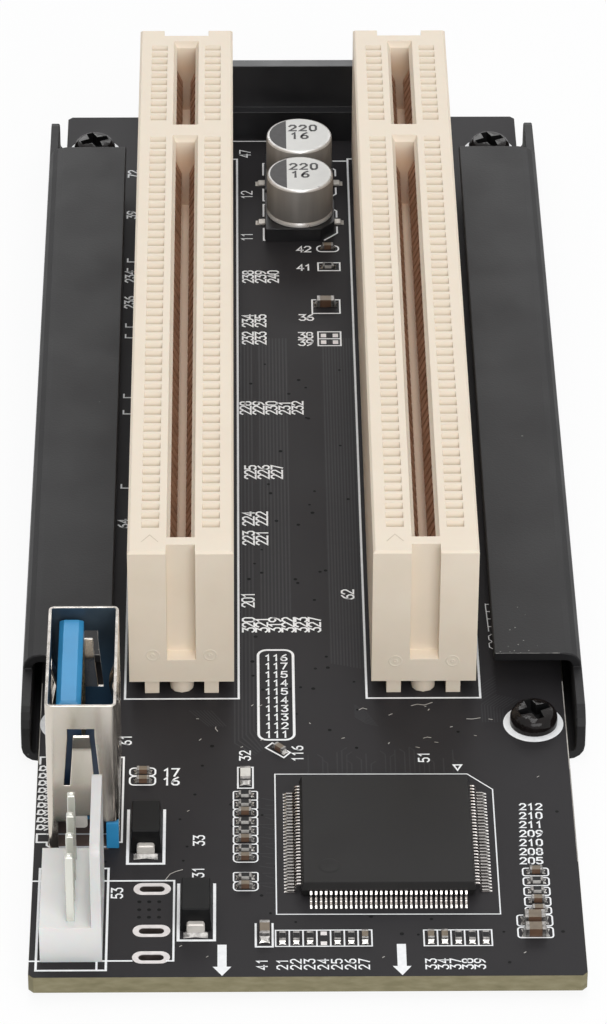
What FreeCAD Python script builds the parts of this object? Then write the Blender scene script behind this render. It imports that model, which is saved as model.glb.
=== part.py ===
import FreeCAD, Part
import math
import os

os.makedirs("parts", exist_ok=True)

V = FreeCAD.Vector

# Circuit board: its lower face lies on the rails' lower flanges, its length follows from what stands on it
board_thickness = 1.6
board_corner = 0.4
side_margin = 7.44
rear_margin = 8.395
rear_overhang = 4.5

# Folded side rails
rail_sheet = 0.8
rail_gap = 0.7
rail_rise = 3.5
rail_bend = 0.6
rail_before_slot = 5.915
rail_after_slot = 5.095
rail_front_setback = 6.9
rail_rear_setback = 7.95
rail_corner = 1.8
flange_gap = 1.5

# Rail screws, thread size and head
screw_size = 2.0
screw_head_width = 4.0
screw_head_height = 1.5
screw_head_bevel = 0.6
screw_end_gap = 0.1
screw_inset = 4.25
screw_from_rail_front = 2.0
screw_from_rail_rear = 3.3
screw_clearance = 0.1

# Flat sides that stand for a full turn on small round pieces, and for a quarter turn on the rails
hole_side_count = 10
screw_side_count = 12
can_side_count = 24
quarter_step_count = 4

# Card slots
slot_spacing = 20.32
slot_width = 8.8
slot_height = 13.46
slot_standoff = 1.4
slot_edge = 0.2
slot_end_margin = 3.685
contact_pitch = 1.27
long_contact_count = 49
key_count = 2
short_contact_count = 11
key_bar = 1.9
card_gap = 1.75
lead_in = 0.3
lead_in_depth = 0.6
section_margin = 1.55
slot_floor = 6.0
spring_room_side = 0.2
spring_room_above = 0.3

# Windows in the top of a slot
window_offset = 2.52
window_width = 1.45
window_length = 0.9
window_depth = 0.9
window_behind_contact = 0.28

# Grooves, legs and pegs at the ends of a slot
front_groove = 2.4
rear_groove = 4.2
groove_depth = 1.1
groove_ledge = 2.3
groove_slope = 0.2
leg_width = 1.22
leg_depth = 1.5
leg_offset = 2.5
leg_setback = 0.25
peg_width = 1.95
peg_setback = 1.4
peg_depth = 1.5
peg_clearance = 0.05

# Spring contact, half section measured from the slot's middle and the board's top
contact_width = 0.85
contact_foot = 2.15
contact_thickness = 0.3
contact_gap = 0.72
contact_apex = 11.0
contact_tip_out = 1.35
contact_tip_height = 13.4

# Bridge chip
chip_x = 6.55
chip_from_front = 16.55
chip_size = 14.0
chip_draft = 0.2
chip_standoff = 0.1
chip_thickness = 1.4
lead_count = 32
lead_pitch = 0.4
lead_width = 0.18
lead_sheet = 0.14
lead_heel = 0.55
lead_reach = 1.05

# Upright USB socket
usb_inset = 4.05
usb_from_front = 22.53
usb_to_slot = 6.985
usb_width = 5.7
usb_depth = 13.3
usb_height = 14.6
usb_sheet = 0.3
usb_corner = 0.7
usb_base_height = 4.0
usb_foot = 0.75
usb_mouth_height = 2.8
usb_block = 1.0
usb_block_gap = 0.1
usb_hollow = 4.2
tongue_offset = 0.85
tongue_thickness = 2.0
tongue_front_gap = 0.9
tongue_rear_gap = 0.3
tongue_below_rim = 0.65
tongue_bevel = 0.4
usb_contact_count = 9
usb_contact_pitch = 1.2
usb_contact_width = 0.6
usb_contact_sheet = 0.15
usb_contact_below = 0.9
usb_contact_margin = 0.2
spring_width = 2.7
spring_slit = 0.55
spring_length = 5.7
spring_below_rim = 2.35
spring_spacing = 6.0

# White power header
header_inset = 3.35
header_from_front = 6.8
header_width = 4.9
header_length = 9.9
header_base = 3.5
header_wall = 0.8
header_height = 11.45
header_round = 0.9
pin_count = 4
pin_pitch = 2.54
pin_size = 0.64
pin_point = 0.18
pin_top = 10.05
pin_below_board = 0.5
pin_hole = 1.0

# Oval slots of the power jack that is not fitted
jack_inset = 9.64
jack_slots = (10.77, 5.59, 2.37)
jack_slot_length = 2.1
jack_slot_width = 0.8

# Rear power connector
rear_to_slot = 3.845
rear_block_depth = 4.1
rear_block_height = 3.26
rear_ledge = 1.05
rear_wall = 1.3
rear_height = 7.85
rear_arm = 1.3
rear_arm_base = 1.0
rear_arm_height = 5.6
rear_arm_gap = 1.015
rear_tongue_side = 0.975
rear_tongue_sheet = 1.23
rear_tongue_setback = 0.8
rear_key_gap = 0.075
rear_key_height = 0.9
blade_count = 15
blade_pitch = 1.27
blade_width = 0.84
blade_sheet = 0.2
blade_setback = 0.6

# Electrolytic capacitors
can_x = 0.6
can_before_slot_end = 4.055
can_gap = 0.4
can_width = 6.3
can_height = 5.55
can_bevel = 0.35
can_base_width = 6.6
can_base_height = 1.4
can_base_chamfer = 1.3
can_terminal_width = 0.8
can_terminal_out = 0.6
can_terminal_sheet = 0.2

# Diodes, each from the board's left edge and front edge
diode_places = ((9.07, 17.45), (13.15, 7.65))
diode_width = 2.55
diode_length = 4.3
diode_height = 2.2
diode_draft = 0.15
diode_tab_width = 1.45
diode_tab_out = 0.5
diode_tab_height = 1.1

# Indicator light
led_x = -4.85
led_from_front = 25.05
led_length = 1.6
led_width = 0.85
led_height = 0.55

# Chip resistors and ceramic capacitors: length, width, height
small_resistor = (1.0, 0.5, 0.35)
small_capacitor = (1.0, 0.5, 0.5)
medium_capacitor = (1.6, 0.8, 0.8)
large_capacitor = (1.6, 0.95, 0.8)

# Columns and rows of small parts, their place and spacing
left_column_x = -4.9
left_column_start = 22.67
left_column_step = 1.157
left_column = "RRCRRCRC"
left_pair_start = 12.15
left_pair = "RC"
right_column_inset = 3.5
right_column_start = 12.7
right_column_step = 1.2
right_column = "CRRCC"
front_row_from_front = 4.6
front_row_start = -1.97
front_row_step = 1.089
front_row = "RRR-RRC"
second_row_start = 9.79
second_row = "CCRRR"
socket_pair_inset = 8.72
socket_pair_start = 25.75
socket_pair = "CC"
input_capacitor = (-3.38, 5.15)
slanted_capacitor = (-2.0, 28.65)
slant_angle = -45.0
large_inset = 3.88
large_starts = (6.65, 5.15)

# Small parts between the slots, before the cans
small_before_can = 1.2
small_x = 3.2
resistor_before_can = 4.5
medium_before_can = 11.0
medium_x = 2.85

# How far cutting tools run past a face, and how near counts as equal
overrun = 1.0
touch = 1e-6

# Shared levels and edges
board_top = rail_sheet + board_thickness
position_count = long_contact_count + key_count + short_contact_count
slot_length = (position_count - 1) * contact_pitch + 2 * slot_end_margin
slot_from_front = usb_from_front + usb_depth / 2 + usb_to_slot
board_length = slot_from_front + slot_length + rear_margin
board_width = slot_spacing + slot_width + 2 * side_margin
board_front = -(board_length + rear_overhang) / 2
board_rear = board_front + board_length
board_right = board_width / 2
board_left = -board_right
rear_end = board_rear + rear_overhang
slot_front = board_front + slot_from_front
slot_rear = slot_front + slot_length


def box(x0, x1, y0, y1, z0, z1):
    return Part.makeBox(x1 - x0, y1 - y0, z1 - z0, V(x0, y0, z0))


def block(x, y, width, length, z0, z1):
    return box(x - width / 2, x + width / 2, y - length / 2, y + length / 2, z0, z1)


def closed(points):
    return Part.makePolygon(points + points[:1])


def prism(points, direction):
    return Part.Face(closed(points)).extrude(direction)


def ring(x, y, diameter, z, sides):
    angles = [2 * math.pi * (i + 0.5) / sides for i in range(sides)]
    return [V(x + diameter / 2 * math.cos(a), y + diameter / 2 * math.sin(a), z) for a in angles]


def post(x, y, diameter, z0, z1, sides):
    return prism(ring(x, y, diameter, z0, sides), V(0, 0, z1 - z0))


def bevelled_post(x, y, diameter, bevel, z0, z1, sides):
    rims = [ring(x, y, diameter, z1 - bevel, sides), ring(x, y, diameter - 2 * bevel, z1, sides)]
    cap = Part.makeLoft([closed(rim) for rim in rims], True, True)
    return fuse([post(x, y, diameter, z0, z1 - bevel, sides), cap])


def quarter(start, end):
    steps = [start + (end - start) * i / quarter_step_count for i in range(quarter_step_count + 1)]
    return [(math.cos(math.radians(angle)), math.sin(math.radians(angle))) for angle in steps]


def through_hole(x, y, diameter):
    return post(x, y, diameter, rail_sheet - overrun, board_top + overrun, hole_side_count)


def fuse(shapes):
    return shapes[0].fuse(shapes[1:]).removeSplitter()


def group(shapes):
    return Part.makeCompound(shapes)


def edges_along(shape, axis, x=None, y=None, z=None):
    picked = []
    for edge in shape.Edges:
        a = edge.Vertexes[0].Point
        b = edge.Vertexes[-1].Point
        span = b - a
        if abs(abs(span.dot(axis)) - span.Length) > touch or span.Length < touch:
            continue
        middle = (a + b) * 0.5
        wanted = ((middle.x, x), (middle.y, y), (middle.z, z))
        if all(goal is None or abs(value - goal) < touch for value, goal in wanted):
            picked.append(edge)
    return picked


def save(shape, node):
    shape.exportStep("parts/" + node + ".step")


def tapered(x, y, width, length, draft, z0, z1, narrow_end):
    def outline(z, inset):
        w = width / 2 - inset
        d = length / 2 - inset
        return closed([V(x - w, y - d, z), V(x + w, y - d, z), V(x + w, y + d, z), V(x - w, y + d, z)])
    low = draft if narrow_end == "bottom" else 0
    high = draft if narrow_end == "top" else 0
    return Part.makeLoft([outline(z0, low), outline(z1, high)], True, True)


# Places of the screws, contacts, pegs and pins
rail_outer = board_right + rail_gap + rail_sheet
rail_front = slot_front - rail_before_slot
rail_rear = slot_rear + rail_after_slot
screw_ys = (rail_front + screw_from_rail_front, rail_rear - screw_from_rail_rear)
screw_places = [(side * (rail_outer - screw_inset), y) for y in screw_ys for side in (-1, 1)]

contact_start = slot_front + slot_end_margin
contact_ys = [contact_start + i * contact_pitch for i in range(position_count)
              if not long_contact_count <= i < long_contact_count + key_count]
slot_xs = (-slot_spacing / 2, slot_spacing / 2)
peg_ys = (slot_front + peg_setback, slot_rear - peg_setback)

header_x = board_left + header_inset
header_y = board_front + header_from_front
pin_ys = [header_y + (i - (pin_count - 1) / 2) * pin_pitch for i in range(pin_count)]


# Circuit board
def circuit_board():
    board = block(0, (board_front + board_rear) / 2, board_width, board_length, rail_sheet, board_top)
    board = board.makeChamfer(board_corner, edges_along(board, V(0, 0, 1)))
    cuts = [through_hole(x, y, screw_size + 2 * screw_clearance) for x, y in screw_places]
    for x in slot_xs:
        cuts += [through_hole(x, y, peg_width + 2 * peg_clearance) for y in peg_ys]
    cuts += [through_hole(header_x, y, pin_hole) for y in pin_ys]
    jack_x = board_left + jack_inset
    half = (jack_slot_length - jack_slot_width) / 2
    for distance in jack_slots:
        y = board_front + distance
        ends = [through_hole(jack_x + side * half, y, jack_slot_width) for side in (-1, 1)]
        middle = block(jack_x, y, 2 * half, jack_slot_width, rail_sheet - overrun, board_top + overrun)
        cuts.append(fuse(ends + [middle]))
    return board.cut(cuts)


# Card slot: contact section and the housing around it
def contact_outline(x, side, y):
    bend = contact_gap / 2
    corners = ((contact_foot, 0), (bend, contact_apex), (contact_tip_out, contact_tip_height),
               (bend + contact_thickness, contact_apex))
    return [V(x + side * out, y, board_top + up) for out, up in corners]


def slot_contacts(x):
    strips = []
    for y in contact_ys:
        for side in (-1, 1):
            outline = contact_outline(x, side, y - contact_width / 2)
            strips.append(prism(outline, V(0, contact_width, 0)))
    return group(strips)


def window(x, y):
    top = board_top + slot_standoff + slot_height
    near = y + window_behind_contact - window_length / 2
    far = near + window_length
    left = x - window_width / 2
    points = [V(left, near, top), V(left, near, top - window_depth), V(left, far, top)]
    return prism(points, V(window_width, 0, 0))


def end_groove(x, y_face, inward, width):
    base = board_top + slot_standoff + groove_ledge
    top = board_top + slot_standoff + slot_height
    deep = y_face + inward * groove_depth
    points = [V(x - width / 2, y_face, base), V(x - width / 2, deep, base + groove_slope),
              V(x - width / 2, deep, top), V(x - width / 2, y_face, top)]
    return prism(points, V(width, 0, 0))


def slot_housing(x):
    base = board_top + slot_standoff
    top = base + slot_height
    floor = base + slot_floor
    housing = box(x - slot_width / 2, x + slot_width / 2, slot_front, slot_rear, base, top)
    rim = edges_along(housing, V(0, 1, 0), z=top) + edges_along(housing, V(1, 0, 0), z=top)
    housing = housing.makeChamfer(slot_edge, rim)
    key_y = contact_start + (long_contact_count + (key_count - 1) / 2) * contact_pitch
    sections = ((contact_ys[0] - section_margin, key_y - key_bar / 2),
                (key_y + key_bar / 2, contact_ys[-1] + section_margin))
    room_half = contact_foot + spring_room_side
    room_neck = contact_tip_out + spring_room_side
    room_top = board_top + contact_tip_height + spring_room_above
    room_shoulder = board_top + contact_apex
    room = ((-room_half, floor), (room_half, floor), (room_half, room_shoulder), (room_neck, room_top),
            (-room_neck, room_top), (-room_half, room_shoulder))
    cuts = [end_groove(x, slot_front, 1, front_groove), end_groove(x, slot_rear, -1, rear_groove)]
    for start, end in sections:
        inner_start = start + lead_in
        along = V(0, end - lead_in - inner_start, 0)
        middle = (start + end) / 2
        gap = block(x, middle, card_gap, along.y, floor, top - lead_in_depth)
        mouth = tapered(x, middle, card_gap + 2 * lead_in, end - start, lead_in, top - lead_in_depth, top, "bottom")
        springs = prism([V(x + out, inner_start, up) for out, up in room], along)
        feet = [prism(contact_outline(x, side, inner_start), along) for side in (-1, 1)]
        cuts.append(fuse([gap, mouth, springs] + feet))
    for y in contact_ys:
        cuts += [window(x + side * window_offset, y) for side in (-1, 1)]
    housing = housing.cut(cuts)
    supports = []
    for y_face, inward in ((slot_front, 1), (slot_rear, -1)):
        leg_y = y_face + inward * (leg_setback + leg_depth / 2)
        supports += [block(x + side * leg_offset, leg_y, leg_width, leg_depth, board_top, base)
                     for side in (-1, 1)]
    supports += [post(x, y, peg_width, board_top - peg_depth, base, hole_side_count) for y in peg_ys]
    return fuse([housing] + supports)


# Bridge chip
chip_y = board_front + chip_from_front
chip_middle = board_top + chip_standoff + chip_thickness / 2


def chip_body():
    lower = tapered(chip_x, chip_y, chip_size, chip_size, chip_draft,
                    board_top + chip_standoff, chip_middle, "bottom")
    upper = tapered(chip_x, chip_y, chip_size, chip_size, chip_draft,
                    chip_middle, chip_middle + chip_thickness / 2, "top")
    return fuse([lower, upper])


def chip_leads():
    half = lead_sheet / 2
    edge = chip_size / 2
    rise = chip_middle - board_top
    outline = ((0, rise + half), (0, rise - half), (lead_heel - half, 0), (lead_reach, 0))
    points = [V(edge + out, -lead_width / 2, board_top + up) for out, up in outline]
    lead = prism(points, V(0, lead_width, 0))
    leads = []
    for turn in range(4):
        for i in range(lead_count):
            copy = lead.copy()
            copy.translate(V(0, (i - (lead_count - 1) / 2) * lead_pitch, 0))
            copy.rotate(V(0, 0, 0), V(0, 0, 1), 90 * turn)
            copy.translate(V(chip_x, chip_y, 0))
            leads.append(copy)
    return group(leads)


# Upright USB socket
usb_x = board_left + usb_inset
usb_y = board_front + usb_from_front
usb_left = usb_x - usb_width / 2
usb_right = usb_x + usb_width / 2
usb_front = usb_y - usb_depth / 2
usb_top = board_top + usb_height
tongue_left = usb_left + tongue_offset
tongue_face = tongue_left + tongue_thickness
tongue_top = usb_top - tongue_below_rim
usb_contact_top = tongue_top - usb_contact_below


def spring_slits(x, y, along_x):
    top = usb_top - spring_below_rim
    low = top - spring_length
    reach = usb_width if along_x else usb_depth
    def slit(offset, width, z0, z1):
        if along_x:
            return block(x, y + offset, 2 * reach, width, z0, z1)
        return block(x + offset, y, width, 2 * reach, z0, z1)
    side = (spring_width - spring_slit) / 2
    return fuse([slit(-side, spring_slit, low, top), slit(side, spring_slit, low, top),
                 slit(0, spring_width, top - spring_slit, top)])


def usb_shell():
    shell = block(usb_x, usb_y, usb_width, usb_depth, board_top, usb_top)
    shell = shell.makeFillet(usb_corner, edges_along(shell, V(0, 0, 1)))
    bore = block(usb_x, usb_y, usb_width - 2 * usb_sheet, usb_depth - 2 * usb_sheet, board_top, usb_top)
    cuts = [bore, spring_slits(usb_x, usb_y, False)]
    cuts += [spring_slits(usb_x, usb_y + side * spring_spacing / 2, True) for side in (-1, 1)]
    cuts.append(box(usb_left + usb_foot, usb_right, usb_front, usb_front + usb_block,
                    board_top, board_top + usb_mouth_height))
    return shell.cut(cuts)


def usb_insulator():
    inner_width = usb_width - 2 * usb_sheet
    inner_depth = usb_depth - 2 * usb_sheet
    base = block(usb_x, usb_y, inner_width, inner_depth, board_top, board_top + usb_base_height)
    corner = box(usb_right - usb_block, usb_right, usb_front, usb_front + usb_block,
                 board_top, board_top + usb_mouth_height - usb_block_gap)
    hollow = box(usb_left + usb_sheet, usb_right - usb_block, usb_front, usb_front + usb_hollow,
                 board_top, board_top + usb_mouth_height)
    tongue = box(tongue_left, tongue_face, usb_front + usb_sheet + tongue_front_gap,
                 usb_front + usb_depth - usb_sheet - tongue_rear_gap, board_top + usb_base_height, tongue_top)
    rim = edges_along(tongue, V(0, 1, 0), z=tongue_top) + edges_along(tongue, V(1, 0, 0), z=tongue_top)
    bed_length = (usb_contact_count - 1) * usb_contact_pitch + usb_contact_width + 2 * usb_contact_margin
    bed = block(tongue_face - usb_contact_sheet / 2, usb_y, usb_contact_sheet, bed_length,
                board_top + usb_base_height, usb_contact_top)
    return fuse([base, corner, tongue.makeChamfer(tongue_bevel, rim)]).cut([hollow, bed])


def usb_strips():
    strips = []
    for i in range(usb_contact_count):
        y = usb_y + (i - (usb_contact_count - 1) / 2) * usb_contact_pitch
        strips.append(box(tongue_face - usb_contact_sheet, tongue_face, y - usb_contact_width / 2,
                          y + usb_contact_width / 2, board_top + usb_base_height, usb_contact_top))
    return group(strips)


# White power header
def header_pin(y):
    top = board_top + pin_top
    pin = block(header_x, y, pin_size, pin_size, rail_sheet - pin_below_board, top)
    return pin.makeChamfer(pin_point, edges_along(pin, V(1, 0, 0), z=top) + edges_along(pin, V(0, 1, 0), z=top))


def header_pins():
    return group([header_pin(y) for y in pin_ys])


def header_housing(pins):
    base = block(header_x, header_y, header_width, header_length, board_top, board_top + header_base)
    right = header_x + header_width / 2
    top = board_top + header_height
    wall = box(right - header_wall, right, header_y - header_length / 2, header_y + header_length / 2,
               board_top, top)
    wall = wall.makeFillet(header_round, edges_along(wall, V(1, 0, 0), z=top))
    return fuse([base, wall]).cut(pins)


# Rear power connector
rear_front = slot_rear + rear_to_slot
rear_wall_back = rear_front + rear_ledge + rear_wall
rear_tongue_top = board_top + rear_block_height
rear_tongue_width = (blade_count - 1) * blade_pitch + blade_width + 2 * rear_tongue_side


def rear_housing():
    reach = rear_tongue_width / 2
    half = reach + rear_arm_gap + rear_arm
    low = box(-half, half, rear_front, rear_front + rear_block_depth,
              board_top, board_top + rear_block_height)
    wall = box(-half, half, rear_front + rear_ledge, rear_wall_back,
               board_top + rear_block_height, board_top + rear_height)
    pieces = [low, wall]
    for x0 in (-half, half - rear_arm):
        pieces.append(box(x0, x0 + rear_arm, rear_wall_back, rear_end,
                          board_top + rear_arm_base, board_top + rear_arm_height))
    tongue_end = rear_end - rear_tongue_setback
    pieces.append(box(-reach, reach, rear_wall_back, tongue_end,
                      rear_tongue_top - rear_tongue_sheet, rear_tongue_top))
    pieces.append(box(reach - rear_tongue_side + rear_key_gap, reach, rear_wall_back, tongue_end,
                      rear_tongue_top, rear_tongue_top + rear_key_height))
    return fuse(pieces)


def rear_blades():
    end = rear_end - rear_tongue_setback - blade_setback
    return group([box((i - (blade_count - 1) / 2) * blade_pitch - blade_width / 2,
                      (i - (blade_count - 1) / 2) * blade_pitch + blade_width / 2,
                      rear_wall_back, end, rear_tongue_top, rear_tongue_top + blade_sheet)
                  for i in range(blade_count)])


# Electrolytic capacitors
rear_can_y = slot_rear - can_before_slot_end
front_can_y = rear_can_y - can_base_width - can_gap
can_front_edge = front_can_y - can_base_width / 2


def can(y):
    return bevelled_post(can_x, y, can_width, can_bevel, board_top + can_base_height,
                         board_top + can_height, can_side_count)


def can_base(y):
    base = block(can_x, y, can_base_width, can_base_width, board_top, board_top + can_base_height)
    return base.makeChamfer(can_base_chamfer, edges_along(base, V(0, 0, 1), x=can_x + can_base_width / 2))


def can_terminals(y):
    plates = []
    for side in (-1, 1):
        x = can_x + side * (can_base_width + can_terminal_out) / 2
        plates.append(block(x, y, can_terminal_out, can_terminal_width, board_top,
                            board_top + can_terminal_sheet))
    return plates


# Diodes
def diode_body(x, y):
    return tapered(x, y, diode_width, diode_length, diode_draft, board_top, board_top + diode_height, "top")


def diode_tabs(x, y):
    body = diode_body(x, y)
    tabs = []
    for side in (-1, 1):
        middle = y + side * diode_length / 2
        plate = block(x, middle, diode_tab_width, 2 * diode_tab_out, board_top, board_top + diode_tab_height)
        tabs.append(plate.cut(body))
    return tabs


# Small parts, each turned about its middle
def small_part(x, y, size, angle):
    length, width, height = size
    piece = block(x, y, length, width, board_top, board_top + height)
    piece.rotate(V(x, y, 0), V(0, 0, 1), angle)
    return piece


resistors = []
capacitors = []


def add_line(kinds, x, distance, step_x, step_y, angle):
    for i, kind in enumerate(kinds):
        place_x = x + i * step_x
        place_y = board_front + distance + i * step_y
        if kind == "R":
            resistors.append(small_part(place_x, place_y, small_resistor, angle))
        if kind == "C":
            capacitors.append(small_part(place_x, place_y, small_capacitor, angle))


add_line(left_column, left_column_x, left_column_start, 0, -left_column_step, 0)
add_line(left_pair, left_column_x, left_pair_start, 0, -left_column_step, 0)
add_line(right_column, board_right - right_column_inset, right_column_start, 0, -right_column_step, 0)
add_line(front_row, front_row_start, front_row_from_front, front_row_step, 0, 90)
add_line(second_row, second_row_start, front_row_from_front, front_row_step, 0, 90)
add_line(socket_pair, board_left + socket_pair_inset, socket_pair_start, 0, -right_column_step, 0)
for distance in large_starts:
    capacitors.append(small_part(board_right - large_inset, board_front + distance, large_capacitor, 0))
for (x, distance), size, angle in ((input_capacitor, medium_capacitor, 90),
                                   (slanted_capacitor, small_capacitor, slant_angle)):
    capacitors.append(small_part(x, board_front + distance, size, angle))
capacitors.append(small_part(small_x, can_front_edge - small_before_can, small_capacitor, 0))
capacitors.append(small_part(medium_x, can_front_edge - medium_before_can, medium_capacitor, 0))
resistors.append(small_part(small_x, can_front_edge - resistor_before_can, small_resistor, 0))


# Folded side rails and their screws
def right_rail():
    edge = (slot_spacing + slot_width) / 2 + flange_gap
    top = board_top + rail_rise
    outer_bend = rail_bend + rail_sheet
    bend_x = rail_outer - outer_bend
    wall_top = top - outer_bend
    section = [(edge, 0)]
    section += [(bend_x + outer_bend * c, outer_bend + outer_bend * s) for c, s in quarter(-90, 0)]
    section += [(bend_x + outer_bend * c, wall_top + outer_bend * s) for c, s in quarter(0, 90)]
    section += [(edge, top), (edge, top - rail_sheet)]
    section += [(bend_x + rail_bend * c, wall_top + rail_bend * s) for c, s in quarter(90, 0)]
    section += [(bend_x + rail_bend * c, outer_bend + rail_bend * s) for c, s in quarter(0, -90)]
    section.append((edge, rail_sheet))
    rail = prism([V(x, rail_front, z) for x, z in section], V(0, rail_rear - rail_front, 0))
    cuts = [post(x, y, screw_size, -overrun, rail_sheet + overrun, hole_side_count)
            for x, y in screw_places if x > 0]
    for y, inward, setback in ((rail_front, 1, rail_front_setback), (rail_rear, -1, rail_rear_setback)):
        flange_end = y + inward * setback
        cuts.append(box(edge, rail_outer, min(y, flange_end), max(y, flange_end), wall_top, top))
        corner_y = y + inward * rail_corner
        corner_z = wall_top - rail_corner
        turn = [V(bend_x, corner_y - inward * rail_corner * c, corner_z + rail_corner * s)
                for c, s in quarter(0, 90)]
        cuts.append(prism(turn + [V(bend_x, y, wall_top)], V(outer_bend, 0, 0)))
    return rail.cut(cuts)


def rail_screw(x, y):
    head = bevelled_post(x, y, screw_head_width, screw_head_bevel, board_top,
                         board_top + screw_head_height, screw_side_count)
    shank = post(x, y, screw_size, screw_end_gap, board_top, hole_side_count)
    return fuse([head, shank])


save(circuit_board(), "circuit_board")
for name, x in zip(("left", "right"), slot_xs):
    save(slot_housing(x), name + "_slot_housing")
    save(slot_contacts(x), name + "_slot_contacts")
save(chip_body(), "bridge_chip_body")
save(chip_leads(), "bridge_chip_leads")
save(usb_shell(), "usb_socket_shell")
save(usb_insulator(), "usb_socket_insulator")
save(usb_strips(), "usb_socket_contacts")
pins = header_pins()
save(header_housing(pins), "power_header_housing")
save(pins, "power_header_pins")
save(rear_housing(), "rear_power_housing")
save(rear_blades(), "rear_power_contacts")
terminals = []
for name, y in (("front", front_can_y), ("rear", rear_can_y)):
    save(can(y), name + "_capacitor_can")
    save(can_base(y), name + "_capacitor_base")
    terminals += can_terminals(y)
save(group(terminals), "capacitor_terminals")
tabs = []
for name, (inset, distance) in zip(("left", "right"), diode_places):
    save(diode_body(board_left + inset, board_front + distance), name + "_diode_body")
    tabs += diode_tabs(board_left + inset, board_front + distance)
save(group(tabs), "diode_terminals")
led = block(led_x, board_front + led_from_front, led_width, led_length, board_top, board_top + led_height)
save(led, "indicator_led")
save(group(resistors), "chip_resistors")
save(group(capacitors), "ceramic_capacitors")
rail = right_rail()
save(rail, "right_rail")
save(rail.mirror(V(0, 0, 0), V(1, 0, 0)), "left_rail")
save(group([rail_screw(x, y) for x, y in screw_places]), "rail_screws")
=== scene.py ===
import random
from math import atan2, cos, pi, radians, sin
import bmesh
import bpy
from mathutils import Matrix, Vector


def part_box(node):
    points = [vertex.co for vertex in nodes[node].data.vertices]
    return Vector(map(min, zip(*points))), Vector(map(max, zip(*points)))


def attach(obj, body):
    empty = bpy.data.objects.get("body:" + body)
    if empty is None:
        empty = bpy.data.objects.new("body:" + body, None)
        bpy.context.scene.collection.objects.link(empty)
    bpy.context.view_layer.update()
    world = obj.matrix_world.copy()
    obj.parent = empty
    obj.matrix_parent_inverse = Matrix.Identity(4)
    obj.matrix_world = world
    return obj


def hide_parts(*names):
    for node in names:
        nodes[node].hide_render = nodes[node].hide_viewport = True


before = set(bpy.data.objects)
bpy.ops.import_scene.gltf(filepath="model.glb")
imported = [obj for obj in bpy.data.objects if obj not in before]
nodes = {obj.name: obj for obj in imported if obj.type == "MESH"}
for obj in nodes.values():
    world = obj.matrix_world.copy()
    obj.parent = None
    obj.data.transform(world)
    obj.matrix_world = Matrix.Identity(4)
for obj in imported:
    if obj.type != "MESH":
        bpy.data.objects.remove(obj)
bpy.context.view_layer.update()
MM = 0.001

# Origin of the places below, and heights over the board's top in mm
board_low, board_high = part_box("circuit_board")
FRONT = board_low.y
TOP = board_high.z
UNDER = (board_low.z - TOP) / MM
COPPER = 0.007
PAD = 0.012
PRINT = 0.02
FLECK = 0.03

LINE = 0.17
SLOTS = ("left_slot_housing", "right_slot_housing")
LEADS = 32
LEAD_PITCH = 0.4
CONTACT_PITCH = 1.27
CORNERS = ((-1, -1), (1, -1), (1, 1), (-1, 1))
usb_low, usb_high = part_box("usb_socket_shell")


def at(x, d, h=0.0):
    """Point on the board: x from the centreline, d from the front edge, h above the top, in mm."""
    return Vector((x * MM, FRONT + d * MM, TOP + h * MM))


def plan(node):
    """Outline of a node from above: least x and d, then greatest x and d, in mm."""
    low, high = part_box(node)
    return low.x / MM, (low.y - FRONT) / MM, high.x / MM, (high.y - FRONT) / MM


def middle_of(node):
    """Centre of that outline."""
    x0, d0, x1, d1 = plan(node)
    return (x0 + x1) / 2, (d0 + d1) / 2


def circle(sides, turn=0.0):
    angles = [turn + 2 * pi * k / sides for k in range(sides)]
    return [(cos(a), sin(a)) for a in angles]


def ring(x, d, radius, h, sides, turn=0.0):
    """Level circle over the board."""
    return [at(x + radius * c, d + radius * s, h) for c, s in circle(sides, turn)]


def arc(x, y, radius, start, span, steps):
    """Arc about (x, y) from a start angle over a span, in degrees."""
    angles = [radians(start + span * i / steps) for i in range(steps + 1)]
    return [(x + radius * cos(a), y + radius * sin(a)) for a in angles]


# Materials

FINE = 0.02 * MM


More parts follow.
